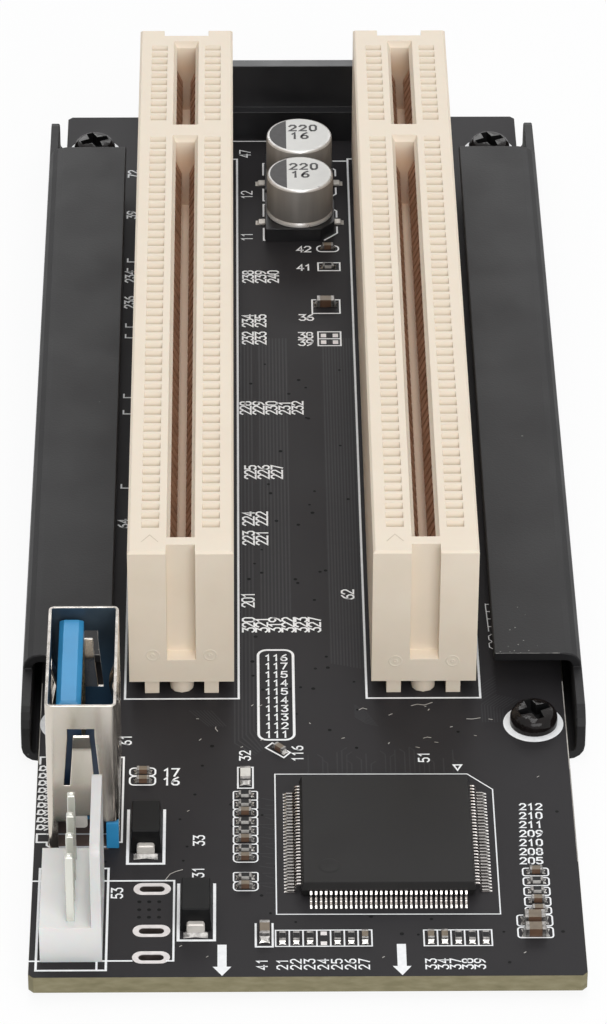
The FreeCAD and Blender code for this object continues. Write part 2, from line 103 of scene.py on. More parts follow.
class Tree:
    """Nodes of one material, round its shader."""

    def __init__(self, name):
        self.material = bpy.data.materials.new(name)
        self.material.use_nodes = True
        self.tree = self.material.node_tree
        self.bsdf = self.tree.nodes["Principled BSDF"]
        self.coords = self.add("ShaderNodeTexCoord").outputs["Object"]

    def fill(self, node, values):
        """Links a node's inputs to the sockets among the values, and sets the rest."""
        for key, value in values.items():
            socket = node.inputs[key.replace("_", " ")]
            if isinstance(value, bpy.types.NodeSocket):
                self.tree.links.new(value, socket)
            else:
                socket.default_value = value

    def add(self, kind, **values):
        node = self.tree.nodes.new(kind)
        self.fill(node, values)
        return node

    def put(self, **values):
        """Fills the shader's own sockets."""
        self.fill(self.bsdf, values)

    def noise(self, scale, detail=3.0, stretch=None):
        source = self.coords
        if stretch:
            source = self.add("ShaderNodeMapping", Vector=source, Scale=stretch).outputs["Vector"]
        return self.add("ShaderNodeTexNoise", Vector=source, Scale=scale, Detail=detail).outputs["Fac"]

    def ramp(self, source, stops):
        node = self.add("ShaderNodeValToRGB", Fac=source)
        elements = node.color_ramp.elements
        while len(elements) < len(stops):
            elements.new(0.5)
        for element, (place, colour) in zip(elements, stops):
            element.position = place
            element.color = (*colour, 1.0)
        return node.outputs["Color"]

    def shades(self, field, dark, light):
        """Colour that wanders with a noise field between two shades."""
        return self.ramp(field, [(0.3, dark), (0.7, light)])

    def spread(self, source, low, high, start=0.3, end=0.7):
        limits = {"From_Min": start, "From_Max": end, "To_Min": low, "To_Max": high}
        return self.add("ShaderNodeMapRange", Value=source, **limits).outputs["Result"]

    def blend(self, factor, a, b):
        node = self.add("ShaderNodeMix")
        node.data_type = "RGBA"
        self.fill(node, {"Factor": factor, "A": a, "B": b})
        return node.outputs["Result"]

    def bump(self, height, strength, distance):
        node = self.add("ShaderNodeBump", Height=height, Strength=strength, Distance=distance)
        self.put(Normal=node.outputs["Normal"])

    def math(self, operation, a, b=0.0):
        node = self.add("ShaderNodeMath")
        node.operation = operation
        self.tree.links.new(a, node.inputs[0])
        if isinstance(b, float):
            node.inputs[1].default_value = b
        else:
            self.tree.links.new(b, node.inputs[1])
        return node.outputs["Value"]

    def axes(self, vector):
        return self.add("ShaderNodeSeparateXYZ", Vector=vector).outputs

    def normal(self, axis):
        return self.axes(self.add("ShaderNodeNewGeometry").outputs["Normal"])[axis]

    def facing_up(self, low=0.0, high=1.0):
        """Goes from low on walls to high on level faces."""
        return self.spread(self.math("ABSOLUTE", self.normal("Z")), low, high, 0.5, 0.8)

    def by_height(self, low, high, start, end):
        """Goes from low to high between two heights over the board, in mm."""
        return self.spread(self.axes(self.coords)["Z"], low, high, TOP + start * MM, TOP + end * MM)

    def within(self, value, low, high, soft):
        """One between two limits, in metres, falling off over a soft band outside them."""
        rise = self.spread(value, 0.0, 1.0, low - soft, low)
        fall = self.spread(value, 1.0, 0.0, high, high + soft)
        return self.math("MULTIPLY", rise, fall)

    def over(self, factor, colour):
        """Lays another colour over the base colour."""
        below = self.bsdf.inputs["Base Color"].links[0].from_socket
        self.put(Base_Color=self.blend(factor, below, colour))

    def dust(self, scale, amount):
        """Lays rare pale specks over the base colour."""
        specks = self.add("ShaderNodeTexVoronoi", Vector=self.coords, Scale=scale).outputs
        dots = self.spread(specks["Distance"], 1.0, 0.0, 0.02, 0.06)
        rare = self.spread(self.noise(scale * 0.42, 1.0), 0.0, amount, 0.6, 0.7)
        pale = self.ramp(specks["Color"], [(0.0, (0.25, 0.24, 0.22)), (1.0, (0.5, 0.49, 0.47))])
        self.over(self.math("MULTIPLY", dots, rare), pale)


def surface(name, dark, light, rough, scale, metallic=0.0, detail=4.0, stretch=None, grain=None, shine=0.5,
            **sockets):
    """A base colour that wanders between two shades, a roughness that wanders with it, and a fine grain."""
    t = Tree(name)
    field = t.noise(scale, detail, stretch)
    t.put(Base_Color=t.shades(field, dark, light), Roughness=t.spread(field, *rough))
    t.put(Metallic=metallic, Specular_IOR_Level=shine, **sockets)
    if grain:
        grain_scale, strength, depth = grain
        t.bump(t.noise(grain_scale, 2.0), strength, depth)
    return t


def board_material():
    """Black mask with rare dust, khaki on the cut edge, and a brown patch of painted warm reflected light
    under the USB socket.
    """
    t = surface("solder_mask", (0.0215, 0.0203, 0.0219), (0.0285, 0.0269, 0.0287), (0.42, 0.54), 90,
                detail=3.0, grain=(5200, 0.12, FINE), shine=0.1)
    t.dust(330, 0.5)
    weave = t.noise(700, 2.0, (1.0, 1.0, 3.0))
    cut = [(0.25, (0.185, 0.165, 0.095)), (0.5, (0.225, 0.20, 0.12)), (0.8, (0.27, 0.245, 0.155))]
    t.over(t.facing_up(1.0, 0.0), t.ramp(weave, cut))
    # Painted warm reflected light: a brown patch on the board under the USB socket, seen through its mouth
    place = t.axes(t.coords)
    soft = 0.1 * MM
    across = t.within(place["X"], usb_low.x, usb_high.x - 0.9 * MM, soft)
    along = t.within(place["Y"], usb_low.y, usb_high.y, soft)
    t.over(t.math("MULTIPLY", across, along), t.shades(weave, (0.14, 0.10, 0.085), (0.19, 0.14, 0.12)))
    return t


def rail_material():
    """Black powder coat with rare dust."""
    t = surface("powder_coat", (0.0095, 0.0092, 0.0098), (0.0145, 0.0140, 0.0147), (0.44, 0.56), 160,
                grain=(5200, 0.35, 0.03 * MM), shine=0.2)
    t.dust(420, 0.6)
    return t


def blue_material():
    """Blue moulding, with painted shade between the mouth and the rim, where the shell closes round it."""
    t = surface("blue_moulding", (0.029, 0.247, 0.50), (0.04, 0.30, 0.58), (0.35, 0.45), 300,
                grain=(7000, 0.06, FINE))
    # Painted shade: navy over the blue between 3.6 mm and 11.4 mm over the board, inside the shell
    painted_shade_in_shell = t.within(t.axes(t.coords)["Z"], TOP + 3.6 * MM, TOP + 11.4 * MM, 0.8 * MM)
    t.over(painted_shade_in_shell, t.shades(t.noise(300), (0.018, 0.038, 0.08), (0.028, 0.058, 0.115)))
    return t


def shell_material():
    """Nickel plate, duller on the cut rim that faces up."""
    t = surface("nickel_shell", (0.60, 0.545, 0.47), (0.84, 0.79, 0.72), (0.16, 0.3), 260, 1.0,
                stretch=(1.0, 1.0, 0.25), grain=(900, 0.05, 0.1 * MM))
    t.over(t.facing_up(), t.ramp(t.noise(900), [(0.35, (0.32, 0.298, 0.27)), (0.65, (0.54, 0.51, 0.475))]))
    return t


def shell_inside_material():
    """Inner face of the shell: a darkened copy of the nickel as painted shade, with a painted blue reflection
    round the tongue and painted warm light behind the low opening.
    """
    # Painted shade: a darkened copy of the nickel plate
    t = surface("shell_inside_painted_shade", (0.048, 0.070, 0.092), (0.078, 0.110, 0.140), (0.28, 0.42), 300, 0.5)
    # Painted blue reflection of the tongue up to 12 mm, and painted warm light below 3.4 mm behind the low
    # opening
    blue = t.shades(t.noise(300), (0.06, 0.15, 0.26), (0.09, 0.20, 0.33))
    warm = t.shades(t.noise(400), (0.13, 0.092, 0.078), (0.19, 0.138, 0.118))
    t.over(t.by_height(0.9, 0.0, 5.0, 12.0), blue)
    t.over(t.by_height(1.0, 0.0, 2.6, 3.4), warm)
    return t


def lead_material():
    """Plated lead, duller where solder has wetted its foot."""
    t = surface("plated_lead", (0.59, 0.55, 0.525), (0.74, 0.70, 0.675), (0.14, 0.24), 1800, 1.0)
    wetted = t.shades(t.noise(1800), (0.30, 0.285, 0.27), (0.44, 0.418, 0.40))
    t.over(t.by_height(1.0, 0.0, 0.2, 0.45), wetted)
    return t


def rim_painted_light_material():
    """Bright metal as a painted highlight where it faces the front, with painted shade where it faces away.
    """
    t = surface("rim_painted_highlight_and_shade", (0.80, 0.79, 0.77), (0.90, 0.89, 0.87), (0.26, 0.36), 900, 0.5)
    dull = t.shades(t.noise(900), (0.20, 0.193, 0.183), (0.27, 0.26, 0.247))
    # Painted shade where the surface turns away from the front; what faces the front keeps the painted
    # highlight
    t.over(t.spread(t.normal("Y"), 0.0, 1.0, -0.3, 0.12), dull)
    return t


def white_material():
    """Natural white moulding, with painted shade on the thin wall above the base."""
    t = surface("natural_white", (0.73, 0.725, 0.71), (0.77, 0.765, 0.75), (0.3, 0.42), 250,
                grain=(6000, 0.05, FINE), Subsurface_Weight=0.25, Subsurface_Scale=0.001)
    # Painted shade: darker from 3.4 mm to 6 mm over the board
    t.over(t.by_height(0.0, 1.0, 3.4, 6.0), t.shades(t.noise(250), (0.615, 0.61, 0.595), (0.66, 0.655, 0.64)))
    return t


def fired_block(name, sides, top, shine):
    """Small fired part whose top has another colour than its sides."""
    dark_sides, dark_top = [[0.8 * c for c in colour] for colour in (sides, top)]
    t = surface(name, dark_sides, sides, (0.28, 0.42), 2000, detail=2.0, shine=shine)
    t.over(t.facing_up(), t.shades(t.noise(2000, 2.0), dark_top, top))
    return t


def ivory_material():
    """Ivory moulding with painted warm reflected light inside the card slot, and painted shade deep in the
    contact windows.
    """
    t = surface("ivory_moulding", (0.78, 0.672, 0.54), (0.82, 0.717, 0.585), (0.42, 0.55), 220,
                grain=(9000, 0.05, FINE), Subsurface_Weight=0.06, Subsurface_Scale=0.0005,
                shine=0.35)
    low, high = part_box(SLOTS[1])
    place = t.axes(t.coords)
    across = t.math("ABSOLUTE", t.math("SUBTRACT", t.math("ABSOLUTE", place["X"]), (low.x + high.x) / 2))
    along = t.math("ABSOLUTE", t.math("SUBTRACT", place["Y"], (low.y + high.y) / 2))
    half = (high.y - low.y) / 2 - 2.1 * MM
    # Painted warm reflected light in the card slot, oranger with depth below the top
    painted_gap_light = t.ramp(t.spread(place["Z"], 0.0, 1.0, high.z - 5.0 * MM, high.z - 0.7 * MM),
                 [(0.0, (0.93, 0.69, 0.51)), (0.5, (0.97, 0.72, 0.50)), (1.0, (0.95, 0.83, 0.68))])
    # Painted shade: khaki in the contact windows, deeper than 0.15 mm below the top
    windows = t.ramp(t.spread(across, 0.0, 1.0, 0.0, 4.0 * MM),
                     [(0.81, (0.48, 0.39, 0.25)), (0.84, (0.82, 0.70, 0.57))])
    inside = t.blend(t.spread(across, 1.0, 0.0, 1.45 * MM, 1.65 * MM), windows, painted_gap_light)
    painted_light_depth = t.spread(place["Z"], 1.0, 0.0, high.z - 0.7 * MM, high.z - 0.15 * MM)
    short_of_ends = t.spread(along, 1.0, 0.0, half, half + 0.05 * MM)
    t.over(t.math("MULTIPLY", painted_light_depth, short_of_ends), inside)
    return t


M = {
    "board": board_material(),
    "resistor": fired_block("resistor_glaze", (0.62, 0.60, 0.57), (0.018, 0.018, 0.019), 0.12),
    # Ceramic capacitors: the darker, redder sides are painted shade; the tan top is the ceramic's own colour
    "ceramic": fired_block("tan_ceramic", (0.15, 0.086, 0.055), (0.20, 0.158, 0.112), 0.3),
    "ivory": ivory_material(),
    # Chevron on the slot tops: a flat line darker than the ivory, painted shade of the moulded mark
    "painted_chevron_line": surface("chevron_painted_shade", (0.58, 0.48, 0.365), (0.68, 0.57, 0.44), (0.5, 0.6), 900),
    # Contacts: brass darkened to brown, painted shade of the narrow card slot
    "spring": surface("spring_metal_painted_shade", (0.42, 0.235, 0.145), (0.56, 0.325, 0.205), (0.4, 0.55), 700, 0.35),
    "ink": surface("print_white", (0.84, 0.85, 0.86), (0.93, 0.935, 0.94), (0.5, 0.65), 2600),
    "dust": surface("pale_dust", (0.30, 0.27, 0.24), (0.62, 0.60, 0.57), (0.7, 0.85), 900),
    "trace": surface("mask_over_copper", (0.0300, 0.0295, 0.0315), (0.0375, 0.0368, 0.0395), (0.36, 0.46),
                     900, shine=0.12),
    # Near-black for the vias, and painted shade in the screws' cross recesses
    "via": surface("dark_vias_and_painted_recess_shade", (0.003, 0.003, 0.003), (0.006, 0.006, 0.0065), (0.5, 0.7), 900,
                   shine=0.1),
    "chip": surface("chip_moulding", (0.0155, 0.0148, 0.0146), (0.0205, 0.0196, 0.0194), (0.5, 0.62), 300,
                    grain=(14000, 0.25, FINE), shine=0.16),
    "tin": surface("tinned_metal", (0.46, 0.445, 0.42), (0.70, 0.68, 0.655), (0.2, 0.36), 2200, 1.0,
                   grain=(2600, 0.45, 0.08 * MM)),
    "lead": lead_material(),
    "plated": surface("plated_end", (0.12, 0.115, 0.11), (0.36, 0.345, 0.33), (0.26, 0.45), 3600, 0.8),
    "tab": surface("tinned_tab", (0.60, 0.565, 0.52), (0.77, 0.73, 0.675), (0.35, 0.5), 700, 0.3),
    "rim": rim_painted_light_material(),
    "pad": surface("tinned_pad", (0.62, 0.585, 0.575), (0.74, 0.70, 0.69), (0.42, 0.55), 1500, 0.35),
    # Hole walls: plating darkened to brown-black, painted shade inside the oval holes
    "barrel": surface("painted_shade_barrel", (0.030, 0.022, 0.019), (0.070, 0.054, 0.048), (0.4, 0.6), 1600, 0.3),
    "shell": shell_material(),
    "shell_inside_painted_shade": shell_inside_material(),
    "blue": blue_material(),
    "gold": surface("gold_flash", (0.68, 0.47, 0.18), (0.80, 0.60, 0.28), (0.2, 0.35), 900, 1.0),
    "white": white_material(),
    "pin": surface("tinned_pin", (0.60, 0.60, 0.54), (0.74, 0.74, 0.67), (0.14, 0.24), 800, 0.45,
                   stretch=(1.0, 1.0, 0.1)),
    "black": surface("black_moulding", (0.0115, 0.0115, 0.013), (0.0175, 0.0175, 0.0195), (0.32, 0.45), 260,
                     grain=(8000, 0.08, FINE)),
    "can": surface("drawn_aluminium", (0.37, 0.355, 0.335), (0.47, 0.45, 0.43), (0.45, 0.55), 900, 0.55,
                   stretch=(1.0, 1.0, 0.08), grain=(4000, 0.05, FINE)),
    "can_top": surface("coated_can_top", (0.50, 0.50, 0.487), (0.57, 0.57, 0.552), (0.4, 0.5), 500, 0.25),
    "can_ink": surface("can_print", (0.06, 0.059, 0.06), (0.085, 0.083, 0.085), (0.45, 0.6), 1800,
                       shine=0.2),
    "diode": surface("diode_moulding", (0.006, 0.006, 0.0062), (0.0095, 0.0095, 0.0098), (0.42, 0.55), 900,
                     grain=(9000, 0.2, FINE), shine=0.12),
    "led": surface("led_moulding", (0.62, 0.60, 0.55), (0.72, 0.70, 0.65), (0.25, 0.4), 1500),
    "rail": rail_material(),
    "worn": surface("worn_edge", (0.045, 0.044, 0.043), (0.30, 0.29, 0.275), (0.4, 0.6), 1700, 0.3),
    "screw": surface("black_plated", (0.006, 0.0047, 0.0044), (0.012, 0.0092, 0.0086), (0.06, 0.2), 900,
                     grain=(1700, 0.5, 0.07 * MM), shine=0.2),
}


# Mesh helpers


class Mesh:
    """Points and faces of one piece, in metres."""

    def __init__(self):
        self.points = []
        self.faces = []
        self.looks = {}

    def paint(self, first, material):
        """Gives another material to the faces from one index on."""
        for i in range(first, len(self.faces)):
            self.looks[i] = material

    def face(self, points):
        start = len(self.points)
        self.points += [Vector(p) for p in points]
        self.faces.append(tuple(range(start, start + len(points))))

    def grid(self, rows, closed=False):
        """Quads between rows of the same number of points."""
        start = len(self.points)
        count = len(rows[0])
        for row in rows:
            self.points += [Vector(p) for p in row]
        for i in range(len(rows) - 1):
            for j in range(count if closed else count - 1):
                k = (j + 1) % count
                a = start + i * count
                self.faces.append((a + j, a + k, a + count + k, a + count + j))

    def tube(self, rows):
        """Closed rows with a face over each end."""
        self.grid(rows, True)
        self.face(rows[0])
        self.face(rows[-1])

    def ramp(self, rows, feet):
        """Closed ramp: rows from its crest to its toe, and two feet below the crest's ends."""
        self.grid(rows)
        for foot, end in zip(feet, (0, -1)):
            self.face([foot] + [row[end] for row in rows])
        for row in (rows[0], rows[-1]):
            self.face([feet[1], feet[0]] + row)

    def line(self, path, width, height, closed=False):
        """Flat line on the board along (x, d) points, mitred, a hair higher or lower than its neighbours."""
        path = [Vector(p) for p in path]
        height += 0.0008 * (len(self.faces) % 7)
        count = len(path)
        start = len(self.points)
        for i, p in enumerate(path):
            coming = (p - path[i - 1]).normalized()
            going = (path[(i + 1) % count] - p).normalized()
            shift = Vector((0.0, 0.0))
            if i == 0 and not closed:
                coming = going
                shift = -going * width / 2
            elif i == count - 1 and not closed:
                going = coming
                shift = coming * width / 2
            left = Vector((-coming.y, coming.x))
            side = left + Vector((-going.y, going.x))
            side = side.normalized() if side.length > 1e-6 else left
            reach = min(1.0 / max(side.dot(left), 0.35), 2.0)
            offset = side * width / 2 * reach
            for q in (p + shift - offset, p + shift + offset):
                self.points.append(at(q.x, q.y, height))
        for i in range(count if closed else count - 1):
            a = start + 2 * i
            b = start + 2 * ((i + 1) % count)
            self.faces.append((a, b, b + 1, a + 1))

    def disc(self, x, d, outer, inner, height, sides):
        """Flat ring on the board, or a full disc where the inner radius is 0."""
        rim = ring(x, d, outer, height, sides)
        if inner:
            self.grid([rim, ring(x, d, inner, height, sides)], True)
        else:
            self.face(rim)

    def make(self, name, material, slot, smooth=False, solid=False, crease=None, bevel=None, hides=()):
        """Makes the piece; a crease is the angle that stays sharp on a smooth, solid piece."""
        mesh = bpy.data.meshes.new(name)
        mesh.from_pydata([tuple(p) for p in self.points], [], self.faces)
        keys = [material] + sorted(set(self.looks.values()))
        for key in keys:
            mesh.materials.append(M[key].material)
        for i, key in self.looks.items():
            mesh.polygons[i].material_index = keys.index(key)
        mesh.validate()
        if solid or crease:
            work = bmesh.new()
            work.from_mesh(mesh)
            bmesh.ops.remove_doubles(work, verts=work.verts, dist=0.001 * MM)
            bmesh.ops.recalc_face_normals(work, faces=work.faces)
            work.to_mesh(mesh)
            work.free()
        obj = into_scene(name, mesh)
        if smooth or crease:
            mesh.shade_smooth()
        if crease:
            mesh.set_sharp_from_angle(angle=radians(crease))
        if bevel:
            soften(obj, bevel)
        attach(obj, "root")
        if hides:
            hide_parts(*hides)
        return obj


def into_scene(name, data):
    obj = bpy.data.objects.new(name, data)
    bpy.context.scene.collection.objects.link(obj)
    return obj


def soften(obj, width, segments=2):
    modifier = obj.modifiers.new("soft_edges", "BEVEL")
    modifier.width = width * MM
    modifier.segments = segments
    modifier.limit_method = "ANGLE"
    modifier.angle_limit = radians(32)
    modifier.harden_normals = True
    modifier.use_clamp_overlap = True


def weld(obj):
    modifier = obj.modifiers.new("joined_corners", "WELD")
    modifier.merge_threshold = 0.002 * MM


def islands(node):
    """Separate boxes of a node: centre of the base, length axis, length, width, height in mm."""
    mesh = nodes[node].data
    keys = {}
    owner = []

    def find(i):
        while owner[i] != i:
            i = owner[i]
        return i

    for polygon in mesh.polygons:
        ids = []
        for index in polygon.vertices:
            key = tuple(round(c * 1e6) for c in mesh.vertices[index].co)
            if key not in keys:
                keys[key] = len(owner)
                owner.append(len(owner))
            ids.append(keys[key])
        for i in ids[1:]:
            owner[find(i)] = find(ids[0])
    groups = {}
    for key, i in keys.items():
        groups.setdefault(find(i), []).append(Vector(key) / 1000.0)
    found = []
    for corners in groups.values():
        low = min(c.z for c in corners)
        high = max(c.z for c in corners)
        base = [c for c in corners if c.z - low < 0.001]
        middle = sum(base, Vector()) / len(base)
        base.sort(key=lambda c: atan2(c.y - middle.y, c.x - middle.x))
        a = base[1] - base[0]
        b = base[2] - base[1]
        along, across = (a, b) if a.length > b.length else (b, a)
        found.append((middle, along.normalized(), along.length, across.length, high - low))
    return sorted(found, key=lambda f: (round(f[0].y, 2), f[0].x))


# Plain numbers, drawn as single strokes

STROKES = {
    "0": [(.15, 0), (.45, 0), (.6, .2), (.6, .8), (.45, 1), (.15, 1), (0, .8), (0, .2), (.15, 0)],
    "1": [(.12, .78), (.34, 1), (.34, 0)],
    "2": [(0, .8), (.15, 1), (.45, 1), (.6, .82), (.6, .62), (0, 0), (.6, 0)],
    "3": [(0, 1), (.58, 1), (.28, .6), (.45, .58), (.6, .42), (.6, .15), (.45, 0), (.15, 0), (0, .15)],
    "4": [(.45, 0), (.45, 1), (0, .3), (.6, .3)],
    "5": [(.56, 1), (.06, 1), (.02, .56), (.4, .6), (.6, .44), (.6, .15), (.44, 0), (.15, 0), (0, .14)],
    "6": [(.5, 1), (.2, .8), (0, .42), (0, .16), (.15, 0), (.45, 0), (.6, .16), (.6, .38), (.45, .54),
          (.15, .54), (0, .38)],
    "7": [(0, 1), (.6, 1), (.2, 0)],
    "8": [(.15, .53), (0, .38), (0, .15), (.15, 0), (.45, 0), (.6, .15), (.6, .38), (.45, .53), (.15, .53),
          (.03, .66), (.03, .86), (.15, 1), (.45, 1), (.57, .86), (.57, .66), (.45, .53)],
    "9": [(.1, 0), (.4, .2), (.6, .58), (.6, .84), (.45, 1), (.15, 1), (0, .84), (0, .62), (.15, .46),
          (.45, .46), (.6, .62)],
}
NARROWED = 0.95


def number(mesh, text, x, d, tall, turn=0, stroke=LINE, step=0.72, height=PRINT):
    """A number whose lower left corner is at (x, d), upright or turned a quarter left."""
    for i, digit in enumerate(text):
        placed = []
        for u, v in STROKES[digit]:
            u = u * NARROWED * tall + i * step
            v = v * tall
            placed.append((x - v, d + u) if turn else (x + u, d + v))
        mesh.line(placed, stroke, height)


# Printed lines on the board

ink = Mesh()


def draw(path, width=LINE, closed=False):
    ink.line(path, width, PRINT, closed)


def rectangle(x0, d0, x1, d1, width):
    draw([(x0, d0), (x1, d0), (x1, d1), (x0, d1)], width, True)


def rounded(x0, d0, x1, d1, radius, width):
    path = []
    for x, d, start in ((x1 - radius, d0 + radius, -90), (x1 - radius, d1 - radius, 0),
                        (x0 + radius, d1 - radius, 90), (x0 + radius, d0 + radius, 180)):
        path += arc(x, d, radius, start, 90, 5)
    draw(path, width, True)


# Round the card slots
for x0, d0, x1, d1 in map(plan, SLOTS):
    rectangle(x0 - 0.38, d0 - 0.55, x1 + 0.38, d1 + 0.45, 0.19)

# USB socket footprint, with a small looped mark for each of its pins
PIN_MARKS = 9
PIN_MARK_START = 18.25
PIN_MARK_STEP = 0.96
PIN_MARK = ((0.17, [(-21.0, 0.55), (-21.4, 0.62), (-21.22, 0.32), (-21.5, 0.1), (-21.82, 0.16)]),
            (0.17, [(-21.8, 0.16), (-21.74, 0.62), (-21.5, 0.68)]),
            (0.15, [(-21.0, 0.16), (-21.2, 0.02)]))
draw([(-15.46, 27.75), (-14.9, 27.75), (-14.9, 16.68), (-15.48, 16.68)])
draw([(-21.45, 27.8), (-21.8, 27.8), (-21.8, 26.9)])
draw([(-21.1, 16.7), (-21.8, 16.7), (-21.8, 17.75), (-21.1, 17.75)])
for i in range(PIN_MARKS):
    for width, path in PIN_MARK:
        draw([(x, PIN_MARK_START + i * PIN_MARK_STEP + d) for x, d in path], width)
draw([(-20.97, 16.7), (-20.97, 16.3), (-20.75, 16.1), (-15.4, 16.1), (-15.2, 16.3), (-15.2, 16.7)])
draw([(-20.9, 17.74), (-15.4, 17.74)])

# Header and power jack footprints
rectangle(-21.42, 0.82, -15.9, 13.35, 0.19)
draw([(-16.64, 0.9), (-16.64, 1.9)])
draw([(-21.95, 11.78), (-10.6, 11.78), (-10.6, 1.93), (-11.1, 1.93)])
draw([(-21.95, 1.95), (-13.9, 1.95)])

# Diodes, light and small parts
for x0, x1, d0, d1 in ((-14.4, -11.46, 13.92, 20.75), (-10.24, -7.36, 4.39, 11.29)):
    draw([(x0, d1), (x0, d0), (x1, d0), (x1, d1)], 0.24)
for d0, d1 in ((25.3, 26.3), (24.07, 25.2)):
    rounded(-14.37, d0, -12.27, d1, 0.35, 0.15)
rectangle(-5.47, 23.6, -4.23, 26.35, 0.14)
COLUMN_STEP = 1.138
COLUMN_CORNERS = {"C": 0.36, "R": 0.14}
for kinds, start in (("CRCRRCRR", 14.07), ("CR", 10.49)):
    for i, kind in enumerate(kinds):
        d = start + i * COLUMN_STEP
        rounded(-5.84, d, -3.88, d + COLUMN_STEP, COLUMN_CORNERS[kind], 0.12)
draw([(-4.09, 6.38), (-4.09, 3.59), (-2.75, 3.59), (-2.75, 6.38)])
for start, step, count, d1 in ((-2.52, 1.09, 7, 5.58), (9.24, 1.078, 5, 5.54)):
    for i in range(count):
        rectangle(start + i * step, 3.62, start + (i + 1) * step, d1, 0.12)
for d0, d1 in ((12.2, 13.16), (10.98, 11.96), (9.75, 10.76), (8.47, 9.53), (7.45, 8.3)):
    rounded(17.44, d0, 19.5, d1, 0.22, 0.13)
for d0, d1 in ((5.98, 7.32), (4.55, 5.8)):
    rounded(16.72, d0, 19.52, d1, 0.25, 0.13)
draw([(-3.16, 28.95), (-2.6, 29.58), (-1.12, 28.3), (-1.66, 27.62)], 0.15, True)
rounded(-3.73, 30.0, -0.76, 42.34, 0.75, 0.22)
rounded(2.18, 104.8, 4.22, 105.85, 0.45, 0.15)
draw([(3.7, 121.06), (5.4, 121.06)])
for x0, d0, x1, d1 in ((2.25, 101.5, 4.3, 102.86), (1.6, 94.2, 4.18, 96.5), (2.08, 88.8, 4.17, 89.95),
                       (2.08, 89.95, 4.17, 91.1)):
    rectangle(x0, d0, x1, d1, 0.15)

# Bridge chip outline, first-pin mark, and two arrows at the front edge
ARROW = (((-0.36, 3.86), (-0.36, 1.2), (0.36, 1.2), (0.36, 3.86)), ((-0.74, 1.2), (0.0, 0.1), (0.74, 1.2)))
draw([(-2.42, 7.55), (15.43, 7.47), (15.45, 23.32), (13.43, 25.36), (-2.42, 25.43)], 0.105, True)
draw([(12.36, 26.55), (13.0, 26.55), (12.67, 25.85)], 0.16, True)
for x in (-6.76, 7.42):
    for outline in ARROW:
        ink.face([at(x + side, d, PRINT) for side, d in outline])

# Capacitor brackets
for d0, d1 in ((113.85, 120.65), (106.85, 113.2)):
    draw([(-2.2, d0), (-2.85, d0), (-2.85, d0 + 2.1)])
    draw([(-2.85, d1 - 2.1), (-2.85, d1), (-2.2, d1)])
    draw([(2.95, d0), (4.15, d0 + 1.2), (4.15, d0 + 2.3)])
    draw([(4.15, d1 - 2.3), (4.15, d1 - 1.2), (2.95, d1)])
draw([(-5.67, 124.78), (-2.58, 124.78)])

# Rings round the screws
for x, d in ((-19.45, 32.25), (19.22, 32.1), (-19.25, 122.8), (19.25, 122.8)):
    ink.disc(x, d, 2.52, 1.15, PRINT, 40)

# Numbers: height, quarter turn, stroke and spacing, then rows with their first place and their step
NUMBERS = (
    ((0.80, 0, 0.15, 0.68), [("116 117 115 114 115 114 113 113 112 111", -3.12, 40.87, 0.0, -1.17)]),
    ((0.77, 0, 0.15, 0.66), [("212 210 211 209 210 208 205", 17.6, 20.65, -0.045, -1.155)]),
    ((0.98, 1), [("320 321 319 322 323 327", -4.03, 44.92, 1.13)]),
    ((0.80, 1, 0.125), [("41", -3.22, 0.86), ("21 22 23 24 25 26 27", -1.62, 0.86, 1.075),
                        ("33 34 37 38 39", 10.1, 0.84, 0.963)]),
    ((0.95, 0), [("17", -11.6, 25.24), ("16", -11.6, 24.08), ("42", 0.3, 104.78), ("41", 0.3, 101.6),
                 ("36", 0.4, 93.05), ("38", 0.3, 90.05), ("39", 0.3, 88.85)]),
    ((0.85, 1, 0.14), [("33", -8.22, 16.25), ("31", -8.26, 12.2), ("53", -14.75, 9.65), ("32", -4.45, 27.3),
                       ("116", -0.1, 27.2), ("51", 10.35, 27.0), ("61", -14.35, 29.45)]),
    ((1.0, 1, 0.12), [("47", -4.1, 121.8), ("12", -3.95, 114.3), ("11", -3.96, 106.8)]),
    ((1.0, 1, 0.16), [("201", -4.05, 48.5), ("62", 4.55, 49.6)]),
    ((0.95, 1), [("223 221", -4.0, 57.6, 1.18), ("224 222", -4.0, 60.5, 1.18),
                 ("225 226 227", -3.8, 67.6, 1.18), ("228 229 230 231 232", -4.2, 77.7, 1.18),
                 ("232 233", -3.95, 89.1, 1.18), ("234 235", -3.95, 92.0, 1.18),
                 ("238 239 240", -3.9, 99.5, 1.18)]),
    ((0.85, 1), [("72", -15.05, 118.2), ("39", -15.05, 110.8), ("234", -15.05, 99.6), ("236", -15.05, 95.2),
                 ("64", -15.05, 60.2)]),
)
for style, rows in NUMBERS:
    for texts, x, d, *steps in rows:
        step_x, step_d = (steps + [0.0, 0.0])[:2]
        for i, text in enumerate(texts.split()):
            number(ink, text, x + i * step_x, d + i * step_d, *style)

# Ticks beside the slots
for d in (103.1, 101.4, 92.0, 90.2, 80.4, 77.8, 66.2):
    draw([(-15.15, d), (-15.75, d), (-15.75, d + 0.55)], 0.15)
draw([(15.88, 48.8), (16.02, 44.9)], 0.08)
for x, d in ((15.88, 48.74), (15.92, 47.7), (15.96, 46.65), (16.0, 45.55)):
    draw([(x, d), (x + 0.27, d)], 0.1)
for d in (44.45, 43.4):
    draw([(16.25, d), (15.98, d - 0.25), (16.0, d - 0.75), (16.27, d - 1.0)], 0.08)
ink.make("board_print", "ink", "board")

